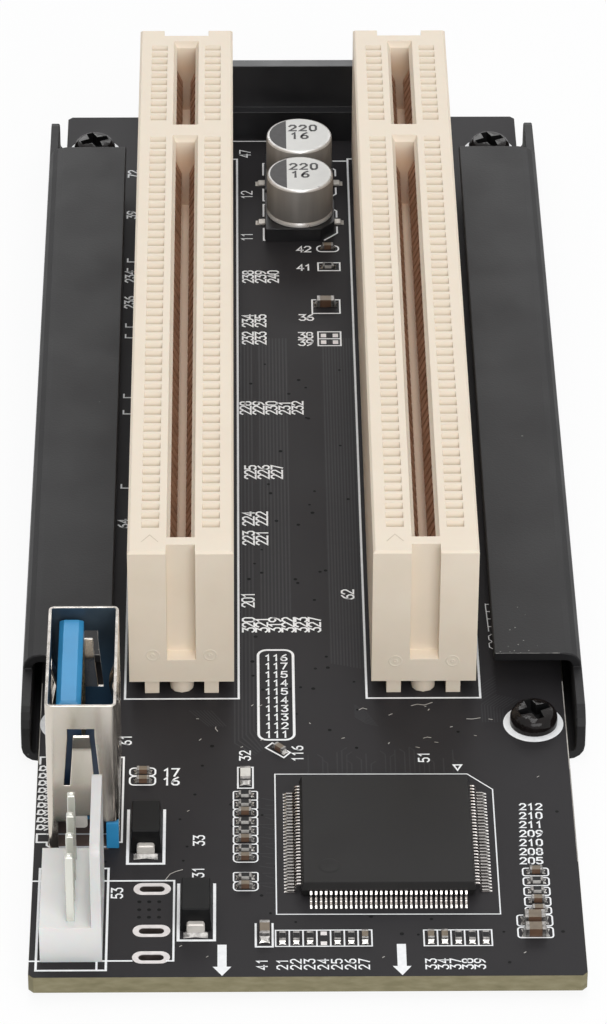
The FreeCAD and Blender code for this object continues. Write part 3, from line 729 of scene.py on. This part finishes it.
# Copper under the mask: count, step and width of a bundle, and its bends as x, d and their share of the step
BUNDLES = (
    (6, 0.32, 0.13, [(-5.72, 90.0, 1, 0), (-5.72, 29.6, 1, 1.1), (-4.1, 27.98, 0.55, 0.65)]),
    (9, 0.31, 0.13, [(-3.4, 90.0, 1, 0), (-3.4, 46.5, 1, 0)]),
    (11, 0.27, 0.13, [(2.5, 90.0, 1, 0), (2.5, 40.5, 1, -0.3)]),
    (9, 0.2, 0.1, [(4.35, 34.7, 0, -1), (5.2, 33.85, 0, -1), (5.35, 33.7, 0.55, -1.15)]),
    (8, 0.25, 0.11, [(15.0, 32.35, 1, 0), (15.0, 34.75, 1, -0.4), (16.3, 36.05, 1, -0.4)]),
    (6, 0.4, 0.11, [(15.0, 35.3, 0, 1), (16.3, 36.6, 0, 1)]),
    (7, 0.3, 0.11, [(-9.5, 34.0, 1, 0), (-7.9, 31.9, 0.8, 0)]),
)
THIN_TRACE = 0.1
random.seed(11)
copper = Mesh()
for count, step, width, bends in BUNDLES:
    for i in range(count):
        copper.line([(x + i * step * sx, d + i * step * sd) for x, d, sx, sd in bends], width, COPPER)
for i in range(LEADS):
    x = 0.35 + i * LEAD_PITCH
    reach = 1.1 + random.random() * 1.9
    if random.random() < 0.75:
        end = x + random.choice((-LEAD_PITCH, 0.0, LEAD_PITCH))
        copper.line([(x, 25.4), (x, 25.6 + reach), (end, 26.0 + reach)], THIN_TRACE, COPPER)
for i in range(20):
    d = 10.2 + i * 0.62
    copper.line([(-2.6, d), (-3.2 - 0.28 * (i % 3), d + 0.3 * (i % 2))], THIN_TRACE, COPPER)
copper.make("board_traces", "trace", "board")

# Vias
VIAS = [
    (-6.0, 21.5), (-5.95, 18.75), (-3.5, 20.1), (-3.6, 9.9), (-2.9, 7.7), (5.1, 7.25), (7.5, 5.1),
    (-0.9, 6.6), (9.9, 6.9), (15.6, 5.3), (20.3, 5.3), (15.9, 1.6), (8.8, 5.0), (-9.9, 14.3), (-9.6, 16.1),
    (-10.2, 19.6), (-9.0, 22.8), (-16.2, 14.2), (-8.4, 26.6), (-7.6, 29.2), (2.2, 31.3), (4.4, 28.9),
    (12.9, 31.0), (20.6, 20.4),
]
VIA_LIFT = 0.0065
vias = Mesh()
for x in (-13.37, -12.58, -11.78):
    for d in (9.18, 8.2, 7.27):
        vias.disc(x, d, 0.17, 0, COPPER, 10)
for _ in range(46):
    VIAS.append((random.uniform(-4.6, 4.6), random.uniform(33.0, 86.0)))
for x, d in VIAS:
    vias.disc(x, d, random.uniform(0.12, 0.19), 0, COPPER + VIA_LIFT, 8)
vias.make("board_vias", "via", "board")

# Loose flecks and fibres that lie on the board, and pale lines along its edges
FIBRES = (
    [(-7.3, 31.75), (-7.32, 31.5), (-7.15, 31.2)],
    [(9.1, 34.55), (9.6, 34.75), (10.2, 34.62), (10.86, 34.98)],
    [(13.7, 32.72), (14.2, 32.7), (14.8, 32.85)],
    [(10.0, 30.15), (10.3, 30.28), (10.6, 30.2)],
    [(-11.3, 11.9), (-10.95, 12.6), (-10.5, 12.92), (-9.95, 13.15)],
    [(4.7, 34.0), (5.0, 34.25), (5.35, 34.1)],
)
FLECK_WIDTH = 0.07
EDGE_LINES = (([(21.94, 14.0), (21.94, 26.0)], 0.04), ([(-21.94, 27.0), (-21.94, 37.8)], 0.05),
              ([(21.94, 26.0), (21.93, 37.8)], 0.075))
flecks = Mesh()
for path in FIBRES:
    flecks.line(path, 0.075, FLECK)
dust = random.Random(5)
for _ in range(18):
    x = dust.uniform(-9.0, 17.0)
    d = dust.uniform(28.6, 34.9)
    flecks.line([(x, d), (x + dust.uniform(0.08, 0.3), d + dust.uniform(-0.1, 0.2))], FLECK_WIDTH, FLECK)
for x, d in ((-10.1, 3.65), (-8.0, 2.35), (-9.6, 20.6), (19.2, 24.9), (17.1, 2.7), (5.9, 2.2)):
    flecks.line([(x, d), (x + 0.14, d + 0.12)], FLECK_WIDTH, FLECK)
for path, width in EDGE_LINES:
    flecks.line(path, width, 0.01)
flecks.make("board_flecks", "dust", "board")

# Plated oval slots: half length, end radius and height of each ring
OVAL_X = -12.36
OVAL_TOP = ((0.76, 0.74, PAD), (0.65, 0.37, PAD), (0.64, 0.36, -0.05))
OVAL_UNDER = ((0.64, 0.36, UNDER + 0.05), (0.65, 0.37, UNDER - PAD), (0.76, 0.74, UNDER - PAD))
OVAL_WALL = ((0.64, 0.355, -0.04), (0.64, 0.355, UNDER + 0.04))
pads = Mesh()
barrels = Mesh()


def oval(d, half, radius, h):
    ends = arc(OVAL_X + half, d, radius, -90, 180, 10) + arc(OVAL_X - half, d, radius, 90, 180, 10)
    return [at(*point, h) for point in ends]


for d in (10.77, 5.59, 2.37):
    for mesh, rings in ((pads, OVAL_TOP), (pads, OVAL_UNDER), (barrels, OVAL_WALL)):
        mesh.grid([oval(d, *shape) for shape in rings], True)
# The barrel walls carry the painted shade of the holes
barrels.make("plated_barrels", "barrel", "board", smooth=True)

# Bare pads: x, d and length
BARE_PADS = ((2.58, 90.5, 0.6), (3.68, 90.5, 0.6), (2.58, 89.4, 0.6), (3.68, 89.4, 0.6), (1.3, 3.98, 0.46),
             (1.3, 5.2, 0.46))
BARE_PAD_WIDTH = 0.5
for x, d, length in BARE_PADS:
    pads.face([at(x + sx * BARE_PAD_WIDTH / 2, d + sd * length / 2, PAD) for sx, sd in CORNERS])

# Plated ends and solder of the small parts
solder = Mesh()
dull_solder = Mesh()
foot_solder = Mesh()
terminals = Mesh()
UP = Vector((0.0, 0.0, 1.0))
END_SKIN = 0.015


def fillet(mesh, wall, out, width, reach, rise, notch=0.4):
    """Solder from a wall down to the board, waisted and notched; wall in mm at the wall's foot."""
    across = Vector((-out.y, out.x, 0.0))
    waist = 0.34
    toe = 0.015
    foot = 0.01
    steps = 6
    rows = []
    for i in range(steps + 1):
        t = i / steps
        half = width / 2 * (1.0 - waist * sin(pi * min(t * 1.25, 1.0)))
        up = rise * (1 - t) ** 1.8 + toe
        row = []
        for s in (1.0, 0.5, 0.0, -0.5, -1.0):
            run = reach * t * (1.0 - notch * t * (1.0 - abs(s)))
            row.append((wall + across * half * s + out * run + UP * up) * MM)
        rows.append(row)
    mesh.ramp(rows, [(wall + across * (width / 2 * s) + UP * foot) * MM for s in (1.0, -1.0)])


def cap_end(end, out, width, height, length):
    """Plated box round the end of a block, a skin larger on every side but below."""
    across = Vector((-out.y, out.x, 0.0)) * (width / 2 + END_SKIN)
    base = [(-length, -1), (END_SKIN, -1), (END_SKIN, 1), (-length, 1)]
    terminals.tube([[(end + out * run + across * side + UP * up) * MM for run, side in base]
                    for up in (0.0, height + END_SKIN)])


for node, share, mesh in (("chip_resistors", 0.2, solder), ("ceramic_capacitors", 0.19, solder),
                          ("indicator_led", 0.16, dull_solder)):
    for base, along, length, width, height in islands(node):
        reach = 0.26 if length < 1.5 else 0.32
        for out in (-along, along):
            end = base + out * (length / 2)
            cap_end(end, out, width, height, length * share)
            fillet(mesh, end + out * 0.01, out, width * 1.05, reach, height * 0.6)
terminals.make("small_part_terminals", "plated", "tinned_lead", solid=True, bevel=0.04)

# Bridge chip: gull-wing leads, as distance out from the body and height, with their pads and solder
LEAD_PATH = ((0.0, 0.80), (0.19, 0.80), (0.30, 0.775), (0.37, 0.70), (0.425, 0.27), (0.49, 0.12),
             (0.59, 0.075), (1.05, 0.07))
LEAD_HALF_WIDTH = 0.08
LEAD_HALF_THICK = 0.07
PAD_NEAR = 0.5
PAD_FAR = 1.34
LEAD_PAD_HALF = 0.09
WEDGE_HALF = 0.075
WEDGE_REACH = 0.25
WEDGE_RISE = 0.11
chip_low, chip_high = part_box("bridge_chip_body")
chip_x, chip_d = middle_of("bridge_chip_body")
chip_half = (chip_high.x - chip_low.x) / 2 / MM
chip_top = (chip_high.z - TOP) / MM
lead_end = LEAD_PATH[-1][0]
leads = Mesh()


def beside_chip(turn, out, side, up):
    """Point out from one of the chip's four sides, along that side and up."""
    p = Matrix.Rotation(radians(90 * turn), 3, "Z") @ Vector((chip_half + out, side, 0.0))
    return at(chip_x + p.x, chip_d + p.y, up)


def lead_rows(turn, side):
    """Four-cornered sections along a lead's path, each across the path's slope."""
    path = [Vector(p) for p in LEAD_PATH]
    rows = []
    for k, p in enumerate(path):
        before = path[max(k - 1, 0)]
        after = path[min(k + 1, len(path) - 1)]
        slope = (after - before).normalized()
        skin = Vector((-slope.y, slope.x)) * LEAD_HALF_THICK
        rows.append([beside_chip(turn, p.x + n * skin.x, side + s * LEAD_HALF_WIDTH, p.y + n * skin.y)
                     for n, s in ((1, 1), (1, -1), (-1, -1), (-1, 1))])
    return rows


for turn in range(4):
    for i in range(LEADS):
        side = (i - (LEADS - 1) / 2) * LEAD_PITCH
        edges = [side - WEDGE_HALF, side + WEDGE_HALF]
        leads.tube(lead_rows(turn, side))
        pads.face([beside_chip(turn, out, side + s * LEAD_PAD_HALF, PAD)
                   for out, s in ((PAD_NEAR, -1), (PAD_FAR, -1), (PAD_FAR, 1), (PAD_NEAR, 1))])
        wedge = []
        for t in (0, 0.35, 0.7, 1):
            up = PRINT + WEDGE_RISE * (1 - t) ** 2
            wedge.append([beside_chip(turn, lead_end + WEDGE_REACH * t, edge, up) for edge in edges])
        solder.ramp(wedge, [beside_chip(turn, lead_end, edge, PAD) for edge in edges])
leads.make("chip_lead_frames", "lead", "tinned_lead", hides=("bridge_chip_leads",), solid=True)

# First-pin mark moulded in the chip's top: radius and height of its rings
FIRST_PIN = ((0.92, 0.002), (0.8, 0.03), (0.72, 0.03), (0.45, 0.006), (0.01, 0.004))
mark = Mesh()
mark.grid([ring(chip_x - 4.7, chip_d - 4.75, r, chip_top + h, 36) for r, h in FIRST_PIN], True)
mark.make("chip_first_pin_mark", "chip", "chip_plastic", smooth=True)

# Diode tabs and capacitor feet
TAB_PAD = ((-0.85, -0.2), (0.85, -0.2), (0.85, 0.45), (-0.85, 0.45))
can_x = middle_of("front_capacitor_can")[0]
bodies = [middle_of(side + "_diode_body") for side in ("left", "right")]
for base, *_ in islands("diode_terminals"):
    body_d = min(bodies, key=lambda body: abs(body[0] - base.x))[1]
    out = Vector((0.0, 1.0 if base.y - FRONT / MM > body_d else -1.0, 0.0))
    fillet(dull_solder, base + out * 0.25, out, 1.95, 0.34, 0.3)
    pads.face([(base + Vector((x * out.y, d * out.y, PAD))) * MM for x, d in TAB_PAD])
for base, *_ in islands("capacitor_terminals"):
    out = Vector((1.0 if base.x > can_x else -1.0, 0.0, 0.0))
    fillet(foot_solder, base + out * 0.3, out, 0.75, 0.3, 0.18, 0.0)
dull_solder.make("dull_solder", "plated", "tinned_lead", crease=50)
foot_solder.make("capacitor_foot_solder", "tab", "tinned_lead", crease=50)

# Solder side: joints of slots, sockets and headers, as x, d and radius
SMALL_JOINT = 0.42
HEADER_JOINT = 0.72
LARGE_JOINT = 0.75
POSITIONS = 62
KEY_POSITIONS = (49, 50)
FIRST_CONTACT = 3.685
HEADER_PITCH = 2.54
JOINT = ((1.0, 0.0), (0.82, -0.1), (0.55, -0.28), (0.34, -0.46), (0.12, -0.54))
joints = []
for slot in SLOTS:
    x = middle_of(slot)[0]
    first = plan(slot)[1] + FIRST_CONTACT
    for i in range(POSITIONS):
        if i in KEY_POSITIONS:
            continue
        for column in ((-1, 3) if i % 2 else (-3, 1)):
            joints.append((x + column * CONTACT_PITCH, first + i * CONTACT_PITCH, SMALL_JOINT))
for i in range(4):
    first = plan("power_header_pins")[1] + 0.32
    joints.append((middle_of("power_header_pins")[0], first + HEADER_PITCH * i, HEADER_JOINT))
for i in range(9):
    joints.append((-17.2 if i % 2 else -19.0, 18.0 + i * 1.1, SMALL_JOINT))
for x, d in ((-20.9, 17.5), (-15.0, 17.5), (-20.9, 27.5), (-15.0, 27.5), (-11.6, 126.5), (11.6, 126.5)):
    joints.append((x, d, LARGE_JOINT))
for i in range(15):
    joints.append(((i - 7) * CONTACT_PITCH, 127.6 if i % 2 else 125.9, SMALL_JOINT))
for x, d, radius in joints:
    solder.tube([ring(x, d, radius * r, UNDER + h, 10) for r, h in JOINT])
solder.make("solder_joints", "tin", "tinned_lead", crease=50)
pads.make("solder_pads", "pad", "tinned_lead")

# Upright USB shell: one sheet folded round, with sprung fingers
SHEET = 0.26
CORNER = 0.48
LIP = 2.8
TURNS = {"front": 0, "right": 90, "back": 180, "left": 270}
FINGERS = {"front": (0.0,), "right": (-3.0, 3.0), "back": (0.0,), "left": (-3.0, 3.0)}
FINGER_COLUMNS = (("window", -1), ("finger", -1), ("inner", -1), ("inner", 0), ("inner", 1), ("finger", 1),
                  ("window", 1))
FINGER_WIDTHS = {"window": (1.46, 0.38), "finger": (1.0, 0.33), "inner": (0.5, 0.16)}


def shell_sheet():
    """Folded sheet with windows and sprung fingers; its lower front is open but for the left corner."""
    width, deep, tall = [(high - low) / MM for low, high in zip(usb_low, usb_high)]
    middle = (usb_low + usb_high) / 2
    span = {"front": width, "right": deep, "back": width, "left": deep}
    top = tall - 2.35
    low = top - 5.7
    tip = top - 0.85
    notch = LIP + 0.62
    strip = 0.35
    steps = 24
    press = 0.55
    knee = 0.667

    columns = []
    for wall in span:
        half = span[wall] / 2 - CORNER
        columns.append((wall, "flat", -half, 0))
        if wall == "front":
            columns.append((wall, "flat", -half + strip, 0))
        for finger in FINGERS[wall]:
            columns += [(wall, kind, finger, side) for kind, side in FINGER_COLUMNS]
        columns.append((wall, "flat", half, 0))
        columns += [(wall, "round", half, angle) for angle in (15, 30, 45, 60, 75)]
    along_finger = {low + (tip - low) * i / steps for i in range(1, steps)}
    rows = sorted({0.0, LIP, notch, low, tip, top, tall} | along_finger)

    def bend(z):
        """How far a finger is pressed in at a height: most at its knee, little at its tip."""
        t = (z - low) / (tip - low)
        if not 0.0 < t <= 1.0:
            return 0.0
        return press * (t / knee) ** 1.3 if t < knee else press - 0.5 * (t - knee) / 0.333

    def place(column, z, sprung):
        wall, kind, p, side = column
        t = min(max((z - low) / (tip - low), 0.0), 1.0)
        depth = -span["right" if wall in ("front", "back") else "front"] / 2
        if kind == "inner" and z < low:
            p += side * 0.62 - 0.1
        elif kind in FINGER_WIDTHS:
            half, taper = FINGER_WIDTHS[kind]
            p += side * (half - taper * t)
        elif kind == "round":
            a = radians(side)
            p += CORNER * sin(a)
            depth += CORNER * (1 - cos(a))
        if sprung:
            depth += bend(z)
        local = Matrix.Rotation(radians(TURNS[wall]), 3, "Z") @ Vector((p, depth, 0.0))
        return Vector((middle.x + local.x * MM, middle.y + local.y * MM, usb_low.z + z * MM))

    sheet = Mesh()
    sprung_faces = []
    index = {}

    def vertex(i, j, sprung):
        i %= len(columns)
        if (i, j, sprung) not in index:
            index[i, j, sprung] = len(sheet.points)
            sheet.points.append(place(columns[i], rows[j], sprung))
        return index[i, j, sprung]

    for i, column in enumerate(columns):
        kinds = {column[1], columns[(i + 1) % len(columns)][1]}
        slit = kinds == {"window", "finger"}
        finger = "inner" in kinds
        front = column[0] == "front"
        for j in range(len(rows) - 1):
            z = (rows[j] + rows[j + 1]) / 2
            if low < z < top and (slit or finger and z > tip):
                continue
            if front and z < LIP and not (kinds == {"flat"} and column[2] < 0):
                continue
            if front and kinds == {"inner"} and LIP < z < notch:
                continue
            sprung = finger and low < z < tip
            if sprung:
                sprung_faces.append(len(sheet.faces))
            quad = ((i, j), (i + 1, j), (i + 1, j + 1), (i, j + 1))
            sheet.faces.append(tuple(vertex(a, b, sprung) for a, b in quad))
    return sheet, sprung_faces


sheet, sprung_faces = shell_sheet()
shell = sheet.make("usb_shell_sheet", "shell", "socket_shell", smooth=True, hides=("usb_socket_shell",))
weld(shell)
thick = shell.modifiers.new("sheet", "SOLIDIFY")
thick.thickness = SHEET * MM
thick.offset = -1.0
# The sheet's inner face takes the painted shade copy of the nickel
for key in ("shell_inside_painted_shade", "shell", "shell"):
    shell.data.materials.append(M[key].material)
thick.material_offset = 1
for i in sprung_faces:
    shell.data.polygons[i].material_index = 2
soften(shell, 0.06)

# Small latch in the shell's front: x and height of its corners' centres, their radius and first angle
LATCH = ((0.06, LIP - 0.38, 0.3, -90), (0.14, LIP + 0.3, 0.2, 0), (-0.58, LIP + 0.3, 0.2, 90),
         (-0.5, LIP - 0.38, 0.3, 180))
LATCH_SETBACK = 0.06
latch = Mesh()
faces = []
for setback in (LATCH_SETBACK, LATCH_SETBACK + SHEET):
    outline = []
    for x, z, radius, start in LATCH:
        outline += arc(x, z, radius, start, 90, 4)
    faces.append([((usb_low.x + usb_high.x) / 2 + x * MM, usb_low.y + setback * MM, usb_low.z + z * MM)
                  for x, z in outline])
latch.tube(faces)
latch.make("usb_shell_latch", "tab", "socket_shell", bevel=0.05, solid=True)

# Capacitor cans, drawn with a crimped foot and a printed top: radius and height along each profile
CAN_FOOT = [(3.08, 1.40), (3.16, 1.42), (3.2, 1.48), (3.19, 1.56), (3.15, 1.68), (3.1, 1.80), (3.07, 1.86)]
CAN_SIDE = [(3.07, 1.86), (3.12, 1.95), (3.15, 2.05), (3.15, 5.32)]
CAN_RIM = [(3.15, 5.32), (3.135, 5.41), (3.08, 5.49), (3.0, 5.535), (2.92, 5.55), (2.86, 5.55)]
CAN_SIDES = 72
CAN_PRINT = 5.556
CAN_NUMBERS = (("220", -0.9, 0.75), ("16", -0.75, -0.65))
cans = Mesh()
can_print = Mesh()
for node in ("front_capacitor_can", "rear_capacitor_can"):
    x, d = middle_of(node)
    side, foot, rim = [[ring(x, d, r, h, CAN_SIDES) for r, h in profile]
                       for profile in (CAN_SIDE, CAN_FOOT, CAN_RIM)]
    cans.grid(side, True)
    cans.face(foot[0])
    first = len(cans.faces)
    cans.grid(foot, True)
    cans.grid(rim, True)
    # Painted highlight and shade: the foot bead and top rim take the rim material
    cans.paint(first, "rim")
    first = len(cans.faces)
    cans.face(rim[-1])
    cans.paint(first, "can_top")
    can_print.face([at(*point, CAN_PRINT) for point in arc(x, d, 2.85, 116, 128, 32)])
    for text, left, low in CAN_NUMBERS:
        number(can_print, text, x + left, d + low, 1.0, 0, 0.23, 0.98, CAN_PRINT)
cans.make("capacitor_cans", "can", "can_aluminium", crease=40,
          hides=("front_capacitor_can", "rear_capacitor_can"))
can_print.make("capacitor_print", "can_ink", "can_aluminium")

# Pan-head screws: profile of the head, then arm, half width, waist and height of the cross recess
HEAD = [(1.98, 0.0), (2.0, 0.3), (1.98, 0.7), (1.89, 1.0), (1.74, 1.22), (1.56, 1.35), (1.46, 1.40)]
MOUTH = (1.36, 0.32, 0.6, 1.43)
PIT = (1.1, 0.24, 0.46, 0.5)
SHANK = 1.0
TURN = 22.0
HEAD_TURN = radians(TURN - 12.0)
HEAD_SIDES = 96
screws = Mesh()


def cross(x, d, reach, half, waist, h):
    """Cross outline, eight points to each of its twelve edges."""
    corners = []
    for arm in range(4):
        a = radians(90 * arm + TURN)
        u = Vector((cos(a), sin(a)))
        v = Vector((-sin(a), cos(a)))
        corners += [u * reach - v * half, u * reach + v * half, (u + v).normalized() * waist]
    points = [p.lerp(corners[(i + 1) % 12], k / 8) for i, p in enumerate(corners) for k in range(8)]
    return [at(x + p.x, d + p.y, h) for p in points]


for base, *_ in islands("rail_screws"):
    x = base.x
    d = base.y - FRONT / MM
    rows = [ring(x, d, r, h, HEAD_SIDES, HEAD_TURN)
            for r, h in [(SHANK, base.z - TOP / MM), (SHANK, 0.0)] + HEAD]
    mouth = cross(x, d, *MOUTH)
    pit = cross(x, d, *PIT)
    screws.face(rows[0])
    screws.grid(rows + [mouth], True)
    first = len(screws.faces)
    screws.grid([mouth, pit], True)
    screws.face(pit)
    # Painted shade: the cross recess takes the near-black via material
    screws.paint(first, "via")
screws.make("rail_screw_heads", "screw", "screw_black", crease=40, hides=("rail_screws",))

# Worn lines on the rails' front edges, and chips in the paint behind them
RAIL_SETBACK = 6.9 * MM
WORN_LIFT = 0.01 * MM
CHIP = ((-1.0, -1.0), (1.0, -0.6), (0.7, 1.0), (-0.8, 0.9))
worn = Mesh()
for node, side in (("left_rail", -1), ("right_rail", 1)):
    low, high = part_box(node)
    top = high.z + WORN_LIFT
    front = low.y + RAIL_SETBACK
    inner = low.x if side > 0 else high.x
    rows = []
    for i in range(28):
        x = inner + side * (0.15 + i * 0.2) * MM
        rows.append([(x, front + WORN_LIFT, top), (x, front + random.uniform(0.03, 0.09) * MM, top)])
    worn.grid(rows)
    for _ in range(16):
        x = inner + side * random.uniform(0.2, 4.0) * MM
        y = front + random.expovariate(0.7) * MM
        r = random.uniform(0.03, 0.07) * MM
        worn.face([(x + r * a, y + r * b, top) for a, b in CHIP])
worn.make("rail_worn_edges", "worn", "rail_paint")

# Slots: ejector marks low on each front, a chevron on top, and round pegs at both ends
MARK_SIDE = 2.4
MARK_HEIGHTS = (4.2, 3.5)
MARK_RINGS = ((0.52, 0.1), (0.13, 0.12))
MARK_PROFILE = ((-1.0, -0.01), (-0.5, 0.022), (0.5, 0.022), (1.0, -0.01))
PEG_SETBACK = 1.4
PEG_RADIUS = 1.0
marks = Mesh()
chevrons = Mesh()
pegs = Mesh()
for slot, rise in zip(SLOTS, MARK_HEIGHTS):
    top = (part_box(slot)[1].z - TOP) / MM
    x0, d0, x1, d1 = plan(slot)
    middle = (x0 + x1) / 2
    for x in (middle - MARK_SIDE, middle + MARK_SIDE):
        for radius, width in MARK_RINGS:
            rows = []
            for share, out in MARK_PROFILE:
                r = radius + share * width
                rows.append([at(x + r * c, d0 - out, rise + r * s) for c, s in circle(32)])
            marks.grid(rows, True)
    x = middle - 2.55
    d = d0 + 1.5
    # The chevron is a flat line in painted shade
    chevrons.line([(x - 0.68, d), (x, d + 0.95), (x + 0.68, d)], 0.09, top + PAD)
    for d in (d0 + PEG_SETBACK, d1 - PEG_SETBACK):
        pegs.tube([ring(middle, d, PEG_RADIUS, h, 40) for h in (0.02, 1.3)])
pegs.make("slot_pegs", "ivory", "slot_plastic", crease=40)
marks.make("slot_mould_marks", "ivory", "slot_plastic", smooth=True)
chevrons.make("slot_chevrons", "painted_chevron_line", "slot_plastic")

# CAD solids that stay: material, width of the soft edge, its segments, and the nodes
DRESSED = (
    ("board", 0.06, 2, "circuit_board"),
    ("ivory", 0.09, 2, "left_slot_housing right_slot_housing"),
    ("spring", 0.0, 0, "left_slot_contacts right_slot_contacts"),
    ("rail", 0.25, 3, "left_rail right_rail"),
    ("diode", 0.14, 2, "left_diode_body right_diode_body"),
    ("chip", 0.06, 2, "bridge_chip_body"),
    ("blue", 0.12, 2, "usb_socket_insulator"),
    ("gold", 0.04, 2, "usb_socket_contacts"),
    ("gold", 0.05, 2, "rear_power_contacts"),
    ("white", 0.22, 3, "power_header_housing"),
    ("pin", 0.06, 2, "power_header_pins"),
    ("black", 0.12, 2, "rear_power_housing front_capacitor_base rear_capacitor_base"),
    ("tab", 0.04, 2, "capacitor_terminals"),
    ("tab", 0.2, 3, "diode_terminals"),
    ("led", 0.05, 2, "indicator_led"),
    ("resistor", 0.03, 2, "chip_resistors"),
    ("ceramic", 0.05, 2, "ceramic_capacitors"),
)
for material, bevel, segments, names in DRESSED:
    for name in names.split():
        obj = nodes[name]
        obj.data.materials.clear()
        obj.data.materials.append(M[material].material)
        if bevel:
            weld(obj)
            soften(obj, bevel, segments)

# World and floor
WHITE = (1.0, 1.0, 1.0, 1.0)
WORLD_COLOUR = (0.96, 0.98, 1.0, 1.0)
WORLD_STRENGTH = 0.36
FLOOR_HALF = 1.5
FLOOR_DROP = 0.02 * MM
FLOOR_GLOW = 0.9


def white_for_camera(tree, lit, bright):
    """Mixes what lights the scene with a plain white that only the camera and reflections see."""
    path = tree.nodes.new("ShaderNodeLightPath").outputs
    seen = path["Is Camera Ray"]
    for kind in ("Is Glossy Ray", "Is Transmission Ray"):
        either = tree.nodes.new("ShaderNodeMath")
        either.operation = "MAXIMUM"
        tree.links.new(seen, either.inputs[0])
        tree.links.new(path[kind], either.inputs[1])
        seen = either.outputs["Value"]
    mix = tree.nodes.new("ShaderNodeMixShader")
    for socket, source in zip(mix.inputs, (seen, lit, bright)):
        tree.links.new(source, socket)
    return mix.outputs["Shader"]


scene = bpy.context.scene
scene.world = bpy.data.worlds.new("studio")
scene.world.use_nodes = True
tree = scene.world.node_tree
lit = tree.nodes["Background"]
bright = tree.nodes.new("ShaderNodeBackground")
for node, colour, strength in ((lit, WORLD_COLOUR, WORLD_STRENGTH), (bright, WHITE, 1.0)):
    node.inputs["Color"].default_value = colour
    node.inputs["Strength"].default_value = strength
seen = white_for_camera(tree, lit.outputs["Background"], bright.outputs["Background"])
tree.links.new(seen, tree.nodes["World Output"].inputs["Surface"])

floor_mesh = bpy.data.meshes.new("floor")
floor_corners = [(x * FLOOR_HALF, y * FLOOR_HALF, -FLOOR_DROP) for x, y in CORNERS]
floor_mesh.from_pydata(floor_corners, [], [(0, 1, 2, 3)])
floor = into_scene("floor", floor_mesh)
t = Tree("pale_floor")
pale = t.shades(t.noise(6.0, 2.0), (0.93, 0.93, 0.93), (0.95, 0.95, 0.95))
t.put(Base_Color=pale, Roughness=0.9, Specular_IOR_Level=0.0)
lit = t.bsdf.outputs["BSDF"]
glow = t.add("ShaderNodeEmission", Color=WHITE, Strength=1.0)
half = t.add("ShaderNodeMixShader", Fac=FLOOR_GLOW)
t.tree.links.new(lit, half.inputs[1])
t.tree.links.new(glow.outputs["Emission"], half.inputs[2])
seen = white_for_camera(t.tree, lit, half.outputs["Shader"])
t.fill(t.tree.nodes["Material Output"], {"Surface": seen})
floor_mesh.materials.append(t.material)

# Lamps: name, place, target, size and power
LAMPS = (
    ("key", (0.0, -0.03, 0.55), (0.0, 0.0, 0.0), (0.1, 0.7), 1.15),
    ("front", (0.16, -0.55, 0.34), (0.0, -0.02, 0.01), (0.5, 0.35), 2.2),
    ("back", (0.0, 0.60, 0.30), (0.0, 0.02, 0.0), (0.7, 0.22), 1.2),
)
for name, place, target, size, power in LAMPS:
    light = bpy.data.lights.new(name, "AREA")
    light.shape = "RECTANGLE"
    light.size, light.size_y = size
    light.energy = power
    obj = into_scene(name, light)
    obj.location = place
    obj.rotation_euler = (Vector(target) - Vector(place)).to_track_quat("-Z", "Y").to_euler()

# Camera
ELEVATION = radians(35.6889)
YAW = radians(-0.8823)
ROLL = radians(0.3229)
CAMERA_PLACE = Vector((-0.005333, -0.376161, 0.269421))
camera = bpy.data.cameras.new("camera")
camera.sensor_fit = "VERTICAL"
camera.sensor_height = 36.0
camera.lens = 182.28
camera.clip_start = 0.02
camera.clip_end = 10.0
camera_object = into_scene("camera", camera)
tilt = Matrix.Rotation(pi / 2 - ELEVATION, 4, "X")
turned = Matrix.Rotation(YAW, 4, "Z") @ tilt @ Matrix.Rotation(ROLL, 4, "Z")
camera_object.matrix_world = Matrix.Translation(CAMERA_PLACE) @ turned
scene.camera = camera_object
scene.view_settings.view_transform = "Standard"
